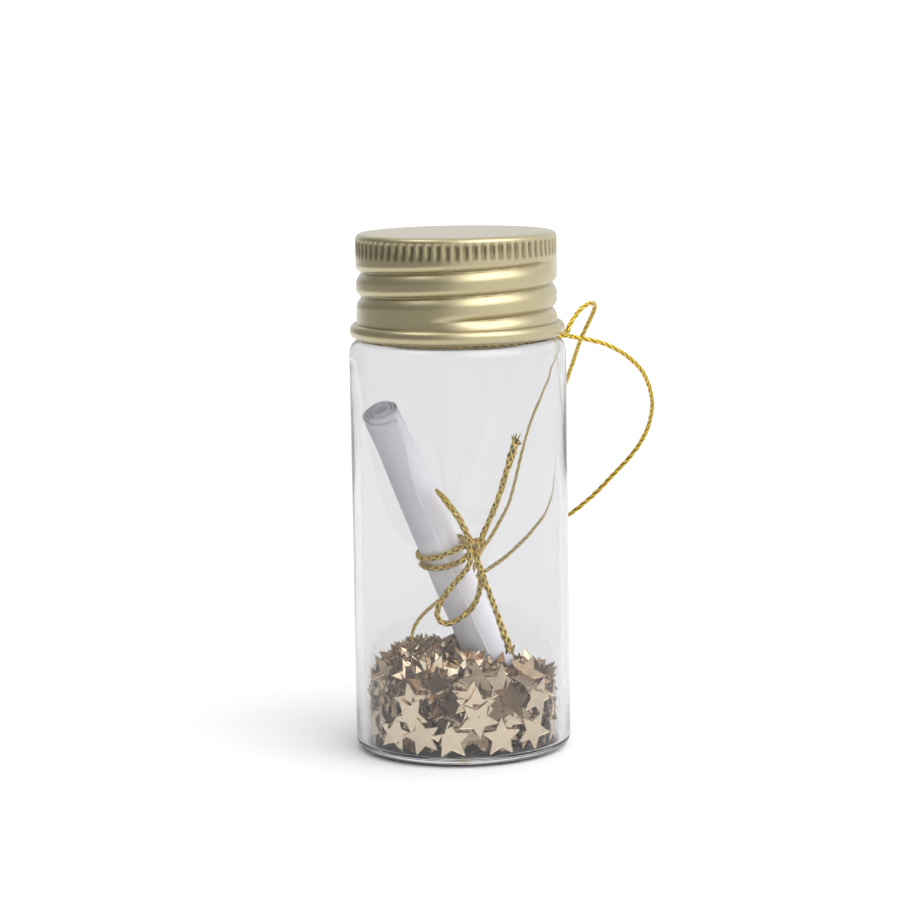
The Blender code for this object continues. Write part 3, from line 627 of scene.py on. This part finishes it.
def rolled_cap():
    """A rolled shell: flat top, fluted grip, rolled thread groove and a curled hem."""
    crown = [(0, cap_top_mm), (4, cap_top_mm), (8, cap_top_mm), (11, cap_top_mm)]
    crown += arc((cap_radius_mm - cap_round_mm, cap_top_mm - cap_round_mm), cap_round_mm,
                 math.pi / 2, 0, 8)
    grip = upright(cap_radius_mm, cap_top_mm - cap_round_mm, knurl_low_mm - 0.1, 0.16)
    skirt = upright(cap_radius_mm, knurl_low_mm - 0.1, skirt_low_mm, 0.125)
    curl = [(hem_middle_mm[0] + hem_half_mm[0] * math.cos(turn),
             hem_middle_mm[1] + hem_half_mm[1] * math.sin(turn))
            for turn in (math.radians(hem_first_deg - hem_sweep_deg * i / 18) for i in range(19))]
    inside = upright(cap_radius_mm - cap_wall_mm, 58.2, 68.0, 0.45)
    backing = [(13.3, 68.3), (13.3, 71.7), (0, 71.7)]
    shape = spun(crown + grip + skirt + curl + inside + backing, cap_segments)
    # painted shade, kept per corner: how far the lacquer's colour is darkened
    shade_layer = shape.verts.layers.float.new("painted_hollow_shade")
    flute_step = tau / flute_count
    for corner in shape.verts:
        radius = math.hypot(corner.co.x, corner.co.y) / mm
        if radius < backing_radius_mm:
            continue
        height = corner.co.z / mm
        angle = math.atan2(corner.co.y, corner.co.x)
        wanted = radius
        if groove_band_mm[0] < height < groove_band_mm[1]:
            off, depth = helix_offset(angle, height, thread_angle, groove_low_mm, groove_turns,
                                      math.radians(40), math.radians(18))
            wanted -= groove_depth_mm * depth * groove_shape(off)
            # painted shade in the groove's notch, and at the skirt's foot above the hem
            corner[shade_layer] = 0.65 * depth * (1 - smooth_step(abs(off + 0.02), 0.03, 0.22))
            corner[shade_layer] = max(corner[shade_layer], 0.6 * (1 - smooth_step(height, skirt_low_mm, 59.85)))
        elif radius > 13.35 and height > knurl_low_mm - 0.15:
            across = (((angle / flute_step) % 1.0) - 0.5) * flute_step * cap_radius_mm
            if abs(across) < flute_half_width_mm:
                flute = flute_depth_mm - flute_radius_mm + math.sqrt(flute_radius_mm ** 2 - across ** 2)
                # its upper end is round
                end = min(max(height - flute_top_mm, 0.0), flute_radius_mm * 0.999)
                flute -= flute_radius_mm - math.sqrt(flute_radius_mm ** 2 - end ** 2)
                # painted shade in the flutes, deepest at their middle
                painted_shade = 1.2 * max(flute, 0.0) / flute_depth_mm
                # the flutes run out slowly towards the skirt
                flute *= 0.25 + 0.75 * smooth_step(height, knurl_low_mm, knurl_low_mm + 1.5)
                flute *= smooth_step(height, knurl_low_mm - 0.25, knurl_low_mm + 0.25)
                wanted = min(radius, cap_radius_mm - max(flute, 0.0))
                painted_shade = 0.75 * min(painted_shade, 1.0)
                corner[shade_layer] = painted_shade * smooth_step(height, knurl_low_mm - 0.2, knurl_low_mm + 0.3)
        corner.co.x *= wanted / radius
        corner.co.y *= wanted / radius
    cap = placed("rolled_cap", shape, cap_finish, "cap")
    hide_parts("screw_cap")


rolled_cap()


# ---- scroll

scroll_foot = Vector((7.470, 3.806, 3.036)) * mm
scroll_top = Vector((-10.303, -2.493, 46.386)) * mm
scroll_length = (scroll_top - scroll_foot).length
scroll_foot_radius_mm = 3.4
scroll_top_radius_mm = 2.65
scroll_turns = 3.5
scroll_lap = 0.42 * mm
scroll_extra = 1.1 * mm
flap_trim = 0.95 * mm
mouth_slant = 0.55
press_depth = 0.3 * mm
paper_unrest = 0.06 * mm
paper_thickness = 0.2 * mm


def scroll_axes():
    """The scroll's own frame: its foot at the origin, its length along Z."""
    up = (scroll_top - scroll_foot).normalized()
    right = Vector((1, 0, 0))
    right = (right - up * right.dot(up)).normalized()
    axes = Matrix((right, up.cross(right), up)).transposed().to_4x4()
    axes.translation = scroll_foot
    return axes


scroll_frame = scroll_axes()


def scroll_radius(height):
    """Radius of the roll, which tapers towards its top."""
    taper_mm = scroll_top_radius_mm - scroll_foot_radius_mm
    return (scroll_foot_radius_mm + taper_mm * height / scroll_length) * mm


def rolled_paper():
    """One sheet, rolled: a flat grid bent along a spiral that tapers with the roll."""
    shape = bmesh.new()
    across, along = 350, 48
    bmesh.ops.create_grid(shape, x_segments=across, y_segments=along, size=0.5)
    for corner in shape.verts:
        turned = (corner.co.x + 0.5) * scroll_turns
        share = corner.co.y + 0.5
        # the outer flap's corner is trimmed low, and the laps behind it stand unevenly
        at_mouth = smooth_step(share, 0.9, 1.0)
        trim = flap_trim * (1 - smooth_step(turned, 0.17, 0.34)) * at_mouth
        trim -= (0.12 * turned + 0.15 * math.sin(5.0 * turned)) * mm * at_mouth
        height = (scroll_length + scroll_extra) * share - trim
        # the sheet was rolled a little askew, so its free edge winds round near the top and
        # its mouth is cut aslant, lower at the front and the right
        askew = smooth_step(height, scroll_length - 12 * mm, scroll_length)
        angle = math.radians(-80 + 34 * askew) - tau * turned
        slant = mouth_slant * math.sin(angle) - 0.2 * math.cos(angle)
        height += slant * mm * smooth_step(share, 0.85, 1.0) * scroll_radius(height) / scroll_radius(0)
        radius = scroll_radius(height) - scroll_lap * turned
        # the roll is pressed flatter behind its free edge
        aside = (angle + math.radians(125 - 34 * askew) + math.pi) % tau - math.pi
        radius -= press_depth * max(0.0, math.cos(2 * aside)) * (abs(aside) < math.pi / 4)
        # its innermost lap is drawn in, and its free edge stands off a little
        radius -= 0.2 * mm * smooth_step(turned, 2.8, scroll_turns)
        radius += paper_unrest * noise.noise(Vector((math.cos(angle) * 1.3, math.sin(angle) * 1.3,
                                                     share * 5 + turned)))
        radius += paper_unrest * (1 - smooth_step(turned, 0.0, 0.05))
        corner.co = scroll_frame @ Vector((radius * math.cos(angle), radius * math.sin(angle), height))
    bmesh.ops.recalc_face_normals(shape, faces=shape.faces)
    scroll = placed("paper_roll", shape, paper_finish, "vial", math.radians(50))
    sheet = scroll.modifiers.new("paper_gauge", "SOLIDIFY")
    sheet.thickness = paper_thickness
    sheet.offset = 0.0
    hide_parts("paper_scroll")


rolled_paper()


# ---- tie

tie_diameter = 1.0 * mm
tie_pitch = 3.6 * mm
braid_width = 0.92 * mm
core_share = 0.24
filament_radius = 0.13 * mm
knot_angle = math.radians(-36)
tie_height = scroll_length * 0.563
tie_gap = 0.25 * mm
knot_offset = 2.15 * mm
knot_reach = scroll_radius(tie_height) + tie_gap + tie_diameter / 2 + knot_offset
knot_frame = (scroll_frame @ Matrix.Rotation(knot_angle, 4, "Z")
              @ Matrix.Translation((knot_reach, 0, tie_height)))
low_loop_route = ((-0.0003, -0.0006, -0.0006), (-0.0006, -0.0011, -0.0016), (-0.0009, -0.0012, -0.0026),
                  (-0.0018, -0.0010, -0.0038), (-0.0029, -0.0007, -0.0051), (-0.0043, -0.0005, -0.0069),
                  (-0.0052, -0.0004, -0.0088), (-0.0050, -0.0003, -0.0102), (-0.0039, -0.0003, -0.0107),
                  (-0.0025, -0.0003, -0.0102), (-0.0009, -0.0002, -0.0090), (0.0002, -0.0001, -0.0074),
                  (0.0008, -0.0001, -0.0050), (0.0006, -0.0003, -0.0030), (0.0003, -0.0002, -0.0016),
                  (0.0002, -0.0001, -0.0006))
high_loop_route = ((-0.0003, -0.0008, 0.0005), (-0.0009, -0.0013, 0.0015), (-0.0015, -0.0015, 0.0030),
                   (-0.0024, -0.0017, 0.0047), (-0.0034, -0.0019, 0.0061), (-0.0044, -0.0020, 0.0073),
                   (-0.0050, -0.0018, 0.0080), (-0.0049, -0.0013, 0.0080), (-0.0042, -0.0010, 0.0072),
                   (-0.0032, -0.0008, 0.0059), (-0.0022, -0.0006, 0.0044), (-0.0014, -0.0004, 0.0029),
                   (-0.0008, -0.0002, 0.0015), (-0.0003, -0.0001, 0.0005))
high_tail_route = ((0.0004, -0.0003, 0.0004), (0.0010, -0.0006, 0.0013), (0.0014, -0.0008, 0.0023),
                   (0.0023, -0.0010, 0.0043), (0.0036, -0.0014, 0.0076), (0.0047, -0.0018, 0.0111),
                   (0.0059, -0.0021, 0.0148))
low_tail_route = ((0.0002, -0.0009, -0.0007), (0.0004, -0.0011, -0.0018), (0.0009, -0.00115, -0.0032),
                  (0.0014, -0.0012, -0.0048), (0.0020, -0.0014, -0.0065), (0.0027, -0.0017, -0.0085),
                  (0.0032, -0.0020, -0.0101), (0.0038, -0.0023, -0.0118), (0.0044, -0.0025, -0.0135),
                  (0.0046, -0.0026, -0.0141))


def frayed(route, chance):
    """Loose filaments that spread from the cut end of a cord."""
    end, before = route[-1], route[-6]
    ahead = (end - before).normalized()
    strands = []
    for _ in range(14):
        spread = Vector([chance.uniform(-0.5, 0.5) for _ in range(3)])
        start = end + spread * 0.8 * mm - ahead * 0.4 * mm
        length = chance.uniform(0.4, 0.7) * mm
        strands.append([(start + ahead * length * share + spread * length * share ** 1.5,
                         filament_radius * (1.1 - 0.6 * share), spread.normalized())
                        for share in (0.0, 0.3, 0.6, 1.0)])
    return strands


def braid(name, node, route, chance, fray=False, pinch=0.0):
    """One stretch of the tie: six film strands braided over a dull core. A pinch makes its
    middle thinner, where a loop is drawn to a point, and a frayed end opens wider."""
    points, strands = braided(route, braid_width, 3, tie_pitch, 0.31, 0.1 * mm, chance)
    middle = (len(points) - 1) / 2
    for strand in strands:
        for i, (point, radius, way_out) in enumerate(strand):
            wide = 1 - pinch * math.exp(-((i - middle) / middle / 0.2) ** 2)
            if fray:
                wide += 0.35 * smooth_step(i / middle, 1.2, 1.9)
            strand[i] = (points[i] + (point - points[i]) * wide, radius * wide, way_out)
    if fray:
        strands += frayed(points, chance)
    piece = tubes(name, strands, 1, tie_finish, "vial")
    tubes(name + "_core", [[(point, braid_width * core_share, Vector((0, 0, 1)))
                            for point in points[1:-1:2]]], 1, core_finish, "vial")
    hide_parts(node)


def tied_cord():
    """The winding, the knot and the bow, each along its solid's own route."""
    chance = random.Random(11)
    middle = knot_frame.translation

    def once_round(heights_mm):
        """From the scroll's front leftwards round its back to the knot's side, at these heights."""
        points = []
        for i in range(26):
            share = i / 25
            angle = math.radians(-90 - 252 * share)
            step = share * (len(heights_mm) - 1)
            low = min(int(step), len(heights_mm) - 2)
            rise = heights_mm[low + 1] - heights_mm[low]
            height = tie_height + mm * (heights_mm[low] + rise * (step - low))
            # the cord is drawn tight, 0.08 mm into the paper
            radius = scroll_radius(height) - 0.08 * mm + braid_width / 2
            points.append(scroll_frame @ Vector((radius * math.cos(angle), radius * math.sin(angle),
                                                 height)))
        return points

    winding = [middle + Vector((-0.5, -0.3, 0.5)) * mm, middle + Vector((-1.4, -0.45, 0.2)) * mm]
    winding += once_round((0.5, 0.85, 0.95, 0.7, 0.4))
    winding += [middle + Vector((-0.5, 1.0, 0.2)) * mm, middle + Vector((0.1, 0.2, -0.3)) * mm,
                middle + Vector((-0.8, -0.4, -1.0)) * mm, middle + Vector((-1.9, -0.7, -1.9)) * mm]
    winding += once_round((-1.2, -0.5, -0.45, -0.6, -0.55))
    winding += [middle + Vector((-0.4, 0.9, -0.6)) * mm, middle + Vector((0.1, 0.1, -0.4)) * mm]
    braid("tie_winding_braid", "tie_winding", winding, chance)
    # the knot is drawn up as a three-lobed one, its face to the front, round a small inner turn
    knot = []
    for i in range(61):
        turn = tau * (i / 60) + 0.4
        knot.append(middle + Vector(((math.sin(turn) + 2 * math.sin(2 * turn)) * 0.45,
                                     -math.sin(3 * turn) * 0.66 - 0.2,
                                     (math.cos(turn) - 2 * math.cos(2 * turn)) * 0.42)) * mm)
    for i in range(1, 25):
        turn = tau * 1.5 * i / 24
        knot.append(middle + Vector((0.75 * math.cos(turn), -0.5 - 0.4 * i / 24,
                                     0.6 * math.sin(turn))) * mm)
    braid("tie_knot_braid", "tie_knot", knot, chance)
    for name, node, route, fray, pinch in (
            ("tie_low_loop_braid", "tie_bow_low_loop", low_loop_route, False, 0.0),
            ("tie_high_loop_braid", "tie_bow_high_loop", high_loop_route, False, 0.4),
            ("tie_high_tail_braid", "tie_tail_high", high_tail_route, True, 0.0),
            ("tie_low_tail_braid", "tie_tail_low", low_tail_route, True, 0.0)):
        path = smooth_route([middle + Vector(point) for point in route], 80)
        braid(name, node, path, chance, fray, pinch)


tied_cord()


# ---- sequins

star_tip = 2.9
star_notch = 1.35
star_gauge = 0.11


def star_outline():
    """One punched star with rounded points: face up, its middle at the origin."""
    shape = bmesh.new()
    bmesh.ops.create_circle(shape, cap_ends=True, segments=10, radius=star_tip * mm)
    shape.verts.ensure_lookup_table()
    for corner in shape.verts:
        turn = math.atan2(corner.co.y, corner.co.x) - math.pi / 2
        if round(turn / (tau / 10)) % 2:
            corner.co *= star_notch / star_tip
    tips = [corner for corner in shape.verts if corner.co.length > (star_notch + 0.3) * mm]
    bmesh.ops.bevel(shape, geom=tips, offset=0.22 * mm, segments=2, profile=0.5, affect="VERTICES",
                    material=-1)
    flat = list(shape.faces)
    grown = bmesh.ops.extrude_face_region(shape, geom=flat)["geom"]
    raised = [part for part in grown if isinstance(part, bmesh.types.BMVert)]
    bmesh.ops.translate(shape, verts=shape.verts, vec=(0, 0, -star_gauge * mm / 2))
    bmesh.ops.translate(shape, verts=raised, vec=(0, 0, star_gauge * mm))
    bmesh.ops.recalc_face_normals(shape, faces=shape.faces)
    # the punch leaves a narrow chamfer round the face
    top = [face for face in shape.faces if face.normal.z > 0.5]
    bmesh.ops.inset_region(shape, faces=top, thickness=0.07 * mm, use_even_offset=True)
    bmesh.ops.translate(shape, verts=raised, vec=(0, 0, -0.05 * mm))
    for face in shape.faces:
        face.normal_update()
        face.material_index = 0 if abs(face.normal.z) > 0.9 else 1
    mesh = drawn("star_outline", shape)
    mesh.attributes.new("sequin_tint_and_shade", "FLOAT", "POINT")
    return mesh


star_mesh = star_outline()


def star_place(angle_deg, radius, height, spin=0.0, tilt=0.0, yaw=0.0):
    """A star at an angle from the front, facing out, its point up; tilt turns its face up."""
    angle = math.radians(angle_deg - 90)
    out = Vector((math.cos(angle), math.sin(angle), 0))
    right = Vector((-math.sin(angle), math.cos(angle), 0))
    axes = Matrix((right, Vector((0, 0, 1)), out)).transposed().to_4x4()
    axes.translation = Vector((radius * out.x, radius * out.y, height)) * mm
    return (axes @ Matrix.Rotation(math.radians(yaw), 4, "Y") @ Matrix.Rotation(math.radians(-tilt), 4, "X")
            @ Matrix.Rotation(math.radians(-spin), 4, "Z"))


def heap_top(x, y):
    """Height of the heap in millimetres: a low crown left of the middle, with hollows."""
    share = min(math.hypot(x + 1.5, y - 1.0) / 13.5, 1.0)
    crown = 9.9 + 3.5 * math.cos(share * math.pi / 2)
    # the heap sinks in front of the scroll
    crown -= 1.3 * max(0.0, 1.0 - math.hypot(x - 5.0, y + 3.5) / 7.0)
    return crown + 0.9 * noise.noise(Vector((x / 4.5, y / 4.5, 3.0)))


def star_fits(place, margin=0.0, room_mm=inner_radius_mm - 0.22):
    """Whether a star's points lie in this radius, over the floor, under the top, off the scroll."""
    up = scroll_frame.to_3x3().col[2]
    for i in range(11):
        reach = 0 if i == 10 else (star_notch if i % 2 else star_tip)
        turn = math.pi / 2 + math.pi * i / 5
        point = place @ Vector((reach * math.cos(turn) * mm, reach * math.sin(turn) * mm, 0))
        if math.hypot(point.x, point.y) > room_mm * mm:
            return False
        if point.z < (glass_floor_mm + 0.15) * mm:
            return False
        if point.z / mm > heap_top(point.x / mm, point.y / mm) + 1.6 + margin:
            return False
        from_foot = point - scroll_foot
        if (from_foot - up * from_foot.dot(up)).length < scroll_radius(from_foot.dot(up)) + 0.2 * mm:
            return False
    return True


# Stars that lie against the glass at the front, read off the photograph: angle from the front,
# distance from the axis, height, spin, tilt, yaw and tint, whose low values paint shade on the dark ones
front_stars = (
    (-45.5, 12.75, 3.75, 12, -2, 9, 0.95), (-24.5, 13.15, 3.95, 56, -2, 0, 0.9),
    (-7.3, 13.12, 3.62, -6, -2, 0, 1.0), (8.4, 13.16, 6.5, 29, -1, 0, 0.95),
    (7.4, 12.85, 8.3, 3, -3, 0, 1.0), (22.2, 13.12, 3.75, 0, -2, 0, 0.97),
    (45.5, 13.0, 3.95, 30, -2, -5, 0.9), (-32.5, 13.05, 6.8, 33, -2, 0, 0.95),
    (-32.5, 12.78, 8.5, -10, -2, 0, 0.9), (67.5, 13.0, 3.9, 12, 0, 4, 0.8),
    (69.6, 13.0, 7.3, 2, -2, 6, 0.85), (-8.4, 12.4, 8.6, 4, 13, -14, 0.15),
    (-17.5, 11.9, 10.9, -6, 15, -16, 0.15), (30.2, 12.5, 8.6, 2, 12, -34, 0.15),
    (46.0, 11.9, 10.7, 10, 48, 10, 0.3), (50.5, 12.9, 8.5, 20, -4, -8, 0.85),
    (25.5, 11.7, 10.9, 8, 4, 10, 0.6), (10.8, 11.4, 11.4, -12, 6, -10, 0.45),
    (-3.0, 9.0, 11.5, 20, 23, 7, 0.8), (51.0, 11.0, 11.5, 30, 20, -34, 0.25),
    (-50.0, 12.5, 7.1, 30, 12, -14, 0.3), (-61.0, 12.9, 5.2, 10, 4, -8, 0.7),
    (-16.8, 12.4, 5.6, 12, 16, -20, 0.1), (-21.0, 12.0, 7.9, 25, 14, -30, 0.2),
    (-68.0, 13.1, 3.7, 20, 0, 0, 0.8), (20.0, 12.2, 7.0, 14, 12, -12, 0.2),
    (-62.0, 12.2, 9.6, 18, 14, -10, 0.3), (-54.0, 11.2, 10.4, 5, 36, 12, 0.4))


def star_piece(name, nodes, stars):
    """Many stars, each a place and a value of tint and painted shade, as one piece."""
    shape = bmesh.new()
    for place, tint_and_shade in stars:
        star_mesh.attributes["sequin_tint_and_shade"].data.foreach_set("value", [tint_and_shade] * len(star_mesh.vertices))
        star_mesh.transform(place)
        shape.from_mesh(star_mesh)
        star_mesh.transform(place.inverted())
    item = linked(name, drawn(name, shape, star_finish, star_edge_finish))
    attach(item, "vial")
    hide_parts(*nodes)


def jumbled(chance, tries, limit, reach_mm, height_at, twist, lean_deg, margin, room_mm, tint_and_shade):
    """Stars thrown anywhere in reach, most of them leaning with their face to the front. The
    tint_and_shade is its greatest value and the power that draws it to the dark end, which is painted
    shade."""
    stars = []
    for _ in range(tries):
        reach = reach_mm * math.sqrt(chance.random())
        turn = chance.uniform(0, tau)
        x, y = reach * math.cos(turn), reach * math.sin(turn)
        place = (Matrix.Translation(Vector((x, y, height_at(x, y))) * mm)
                 @ Matrix.Rotation(chance.gauss(0, twist if y < 7 else 3.0), 4, "Z")
                 @ Matrix.Rotation(math.radians(chance.gauss(*lean_deg)), 4, "X")
                 @ Matrix.Rotation(chance.uniform(0, tau), 4, "Z"))
        if len(stars) < limit and star_fits(place, margin, room_mm):
            stars.append((place, tint_and_shade[0] * chance.random() ** tint_and_shade[1]))
    return stars


wall_star_limit = 290
low_star_limit = 460


def sequin_heap():
    """The heap: stars against the glass, a jumble inside, and loose ones on the top."""
    chance = random.Random(5)
    wall = [(star_place(angle, radius, height, spin, tilt, yaw), tint_and_shade)
            for angle, radius, height, spin, tilt, yaw, tint_and_shade in front_stars]
    for _ in range(2600):
        angle = chance.uniform(-180, 180)
        radius = chance.choice((13.1, 12.7, 12.3, 11.9))
        height = chance.uniform(3.2, 13.0)
        place = star_place(angle, radius, height, chance.uniform(0, 72),
                           chance.gauss(4, 16), chance.gauss(0, 16))
        if abs(angle) < 74 and radius > 12.0 and height < 12.0:
            continue
        if len(wall) < wall_star_limit and star_fits(place):
            wall.append((place, chance.uniform(0.3, 1.0)))
    # a low row behind those at the glass, and some that lie on its floor, fill their gaps; their dark
    # values are painted shade
    for i in range(900):
        if i % 3 == 0:
            place = star_place(chance.uniform(-180, 180), chance.uniform(9.6, 11.4),
                               chance.uniform(1.5, 2.4), chance.uniform(0, 72),
                               chance.uniform(62, 90), chance.uniform(-12, 12))
        else:
            place = star_place(chance.uniform(-180, 180), chance.uniform(12.1, 12.6),
                               chance.uniform(3.6, 4.5), chance.uniform(0, 72),
                               chance.uniform(4, 18), chance.uniform(-25, 15))
        if len(wall) < low_star_limit and star_fits(place, 0.0, 12.95):
            wall.append((place, chance.uniform(0.0, 0.5)))
    # those that would stick out through the front ones are left out
    wall = wall[:len(front_stars)] + [
        (place, tint_and_shade) for place, tint_and_shade in wall[len(front_stars):]
        if place.translation.y > -3.3 * mm or place.translation.z > 11 * mm
        or star_fits(place, 0.0, 12.98)]
    # painted shade: the stars inside the heap are drawn towards dark values
    inside = jumbled(chance, 9000, 950, 12.2, lambda x, y: chance.uniform(1.6, heap_top(x, y) - 1.0),
                     0.6, (66, 20), 0.0, 12.9, (0.5, 1.5))
    top = jumbled(chance, 4000, 260, 12.6, lambda x, y: heap_top(x, y) + chance.uniform(-0.9, 0.3),
                  0.5, (56, 16), 0.8, inner_radius_mm - 0.22, (0.7, 2))
    star_piece("sequins_at_glass", [f"star_{i:02d}" for i in range(1, 29)], wall)
    star_piece("sequins_in_heap", ["star_heap"], inside)
    star_piece("sequins_on_top", [f"star_{i:02d}" for i in range(29, 39)], top)
    bpy.data.meshes.remove(star_mesh)


sequin_heap()

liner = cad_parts["cap_liner"]
liner.data.materials.clear()
liner.data.materials.append(liner_finish)


# ---- floor, light and view

def floor_board():
    """A wide sheet of matt white card, the pale floor."""
    material, tree, card, place = new_finish("white_card_matt", {
        "Roughness": 0.9, "Specular IOR Level": 0.1})
    fleck = add_node(tree, "ShaderNodeTexNoise", {"Scale": 900.0, "Detail": 2.0}, {"Vector": place})
    tone = add_node(tree, "ShaderNodeMix",
                    {"data_type": "RGBA", 6: srgb("#F4F4F4"), 7: srgb("#F8F8F8")}, {0: fleck})
    join(tree, card, {"Base Color": tone.outputs[2]})
    shape = bmesh.new()
    bmesh.ops.create_circle(shape, cap_ends=True, segments=96, radius=0.9,
                            matrix=Matrix.Translation((0.5, 0.5, 0)))
    linked("floor_card", drawn("floor_card", shape, material))


# The softboxes and the tent's parts, as the ornament sees them: azimuth from the camera to the
# right, elevation, half width, half height and softness in degrees, and strength
large_box = (46, 46, 36, 20, 16, 2.7)
small_box = (-75, 64, 22, 9, 8, 3.0)
open_side = (-76, 16, 70, 34, 14, 1.0)
fill_side = (62, 20, 50, 40, 25, 2.2)
tent_strength = 0.8
right_strength = 0.95
room_share = 0.38
matt_box_share = 0.5
matt_gain = 1.46
least_fill = 0.35
backdrop_past = 1.06
backdrop_through = 1.0
least_surfaces = 3.5


def studio_light():
    """A white tent, dark beyond its open side, with a large softbox high at the right and a
    small one at the left that only foils and lacquer mirror."""
    world = bpy.data.worlds.new("studio_tent")
    bpy.context.scene.world = world
    world.use_nodes = True
    tree = world.node_tree
    tree.nodes.clear()
    place = add_node(tree, "ShaderNodeTexCoord")
    axis = add_node(tree, "ShaderNodeSeparateXYZ", links={0: place.outputs["Generated"]})
    towards = add_node(tree, "ShaderNodeMath", {"operation": "MULTIPLY", 1: -1.0},
                       {0: axis.outputs["Y"]})
    azimuth = add_node(tree, "ShaderNodeMath", {"operation": "ARCTAN2"},
                       {0: axis.outputs["X"], 1: towards})
    elevation = add_node(tree, "ShaderNodeMath", {"operation": "ARCSINE"}, {0: axis.outputs["Z"]})

    def panel(azimuth_deg, elevation_deg, half_wide, half_high, soft, strength):
        """A softbox seen in that direction, its edges faded over the soft angle."""
        edges = []
        for source, middle, half in ((azimuth, azimuth_deg, half_wide),
                                     (elevation, elevation_deg, half_high)):
            off = add_node(tree, "ShaderNodeMath", {"operation": "SUBTRACT", 1: math.radians(middle)},
                           {0: source})
            size = add_node(tree, "ShaderNodeMath", {"operation": "ABSOLUTE"}, {0: off})
            edges.append(add_node(tree, "ShaderNodeMapRange",
                                  {"interpolation_type": "SMOOTHSTEP",
                                   "From Min": math.radians(half + soft),
                                   "From Max": math.radians(half - soft)}, {"Value": size}))
        share = add_node(tree, "ShaderNodeMath", {"operation": "MULTIPLY"}, dict(enumerate(edges)))
        return add_node(tree, "ShaderNodeMath", {"operation": "MULTIPLY", 1: strength}, {0: share})

    right = add_node(tree, "ShaderNodeMapRange",
                     {"interpolation_type": "SMOOTHSTEP", "From Min": 0.05, "From Max": 0.95,
                      "To Min": tent_strength, "To Max": right_strength}, {"Value": axis.outputs["X"]})
    overhead = add_node(tree, "ShaderNodeMapRange",
                        {"interpolation_type": "SMOOTHSTEP", "From Min": 0.5, "From Max": 0.95},
                        {"Value": axis.outputs["Z"]})
    tent = add_node(tree, "ShaderNodeMix", {"data_type": "FLOAT", 3: tent_strength},
                    {0: overhead, 2: right})
    # the room beyond the tent's open side, left of the camera, is dark
    room = add_node(tree, "ShaderNodeMapRange", {"To Min": 1.0, "To Max": room_share},
                    {"Value": panel(*open_side)})
    ambient = add_node(tree, "ShaderNodeMath", {"operation": "MULTIPLY"}, {0: tent, 1: room})
    # foils and lacquer mirror the softboxes in full; matt things see only the large one, spread out
    seen = add_node(tree, "ShaderNodeLightPath")
    glossy = add_node(tree, "ShaderNodeMath", {"operation": "GREATER_THAN", 1: 0.5},
                      {0: seen.outputs["Glossy Depth"]})
    boxes = add_node(tree, "ShaderNodeMath", {"operation": "MULTIPLY_ADD"},
                     {0: panel(*small_box), 1: glossy, 2: panel(*large_box)})
    box_share = add_node(tree, "ShaderNodeMapRange", {"To Min": matt_box_share, "To Max": 1.0},
                         {"Value": glossy})
    gain = add_node(tree, "ShaderNodeMapRange", {"To Min": matt_gain, "To Max": 1.0}, {"Value": glossy})
    shared = add_node(tree, "ShaderNodeMath", {"operation": "MULTIPLY_ADD"},
                      {0: boxes, 1: box_share, 2: ambient})
    lit = add_node(tree, "ShaderNodeMath", {"operation": "MULTIPLY"}, {0: shared, 1: gain})
    # light that reaches the paper through the glass comes mostly from the right
    matt = add_node(tree, "ShaderNodeMath", {"operation": "GREATER_THAN", 1: 0.5},
                    {0: seen.outputs["Diffuse Depth"]})
    within = add_node(tree, "ShaderNodeMath", {"operation": "MULTIPLY"},
                      {0: seen.outputs["Is Transmission Ray"], 1: matt})
    fill = add_node(tree, "ShaderNodeMath", {"operation": "ADD", 1: least_fill}, {0: panel(*fill_side)})
    total = add_node(tree, "ShaderNodeMath", {"operation": "MULTIPLY_ADD"}, {0: within, 1: fill, 2: lit})
    # a mirrored look through the glass finds the tent only where it has crossed four surfaces,
    # because one that turned within a single wall has crossed fewer
    deep = add_node(tree, "ShaderNodeMath", {"operation": "GREATER_THAN", 1: least_surfaces},
                    {0: seen.outputs["Transmission Depth"]})
    mirrored = add_node(tree, "ShaderNodeMath", {"operation": "MULTIPLY"}, {0: deep, 1: glossy})
    turned = add_node(tree, "ShaderNodeMath", {"operation": "MAXIMUM"}, {0: matt, 1: mirrored})
    # other looks straight past or through the glass find the white backdrop
    through = add_node(tree, "ShaderNodeMath", {"operation": "GREATER_THAN"},
                       {0: seen.outputs["Is Transmission Ray"], 1: turned})
    past = add_node(tree, "ShaderNodeMix", {"data_type": "FLOAT", 3: backdrop_past},
                    {0: seen.outputs["Is Camera Ray"], 2: total})
    shown = add_node(tree, "ShaderNodeMix", {"data_type": "FLOAT", 3: backdrop_through},
                     {0: through, 2: past})
    sky = add_node(tree, "ShaderNodeBackground", {"Color": srgb("#FFFFFF")}, {"Strength": shown})
    add_node(tree, "ShaderNodeOutputWorld", links={"Surface": sky})


floor_board()
studio_light()
bpy.context.scene.view_settings.view_transform = "Standard"
bpy.context.scene.view_settings.look = "None"
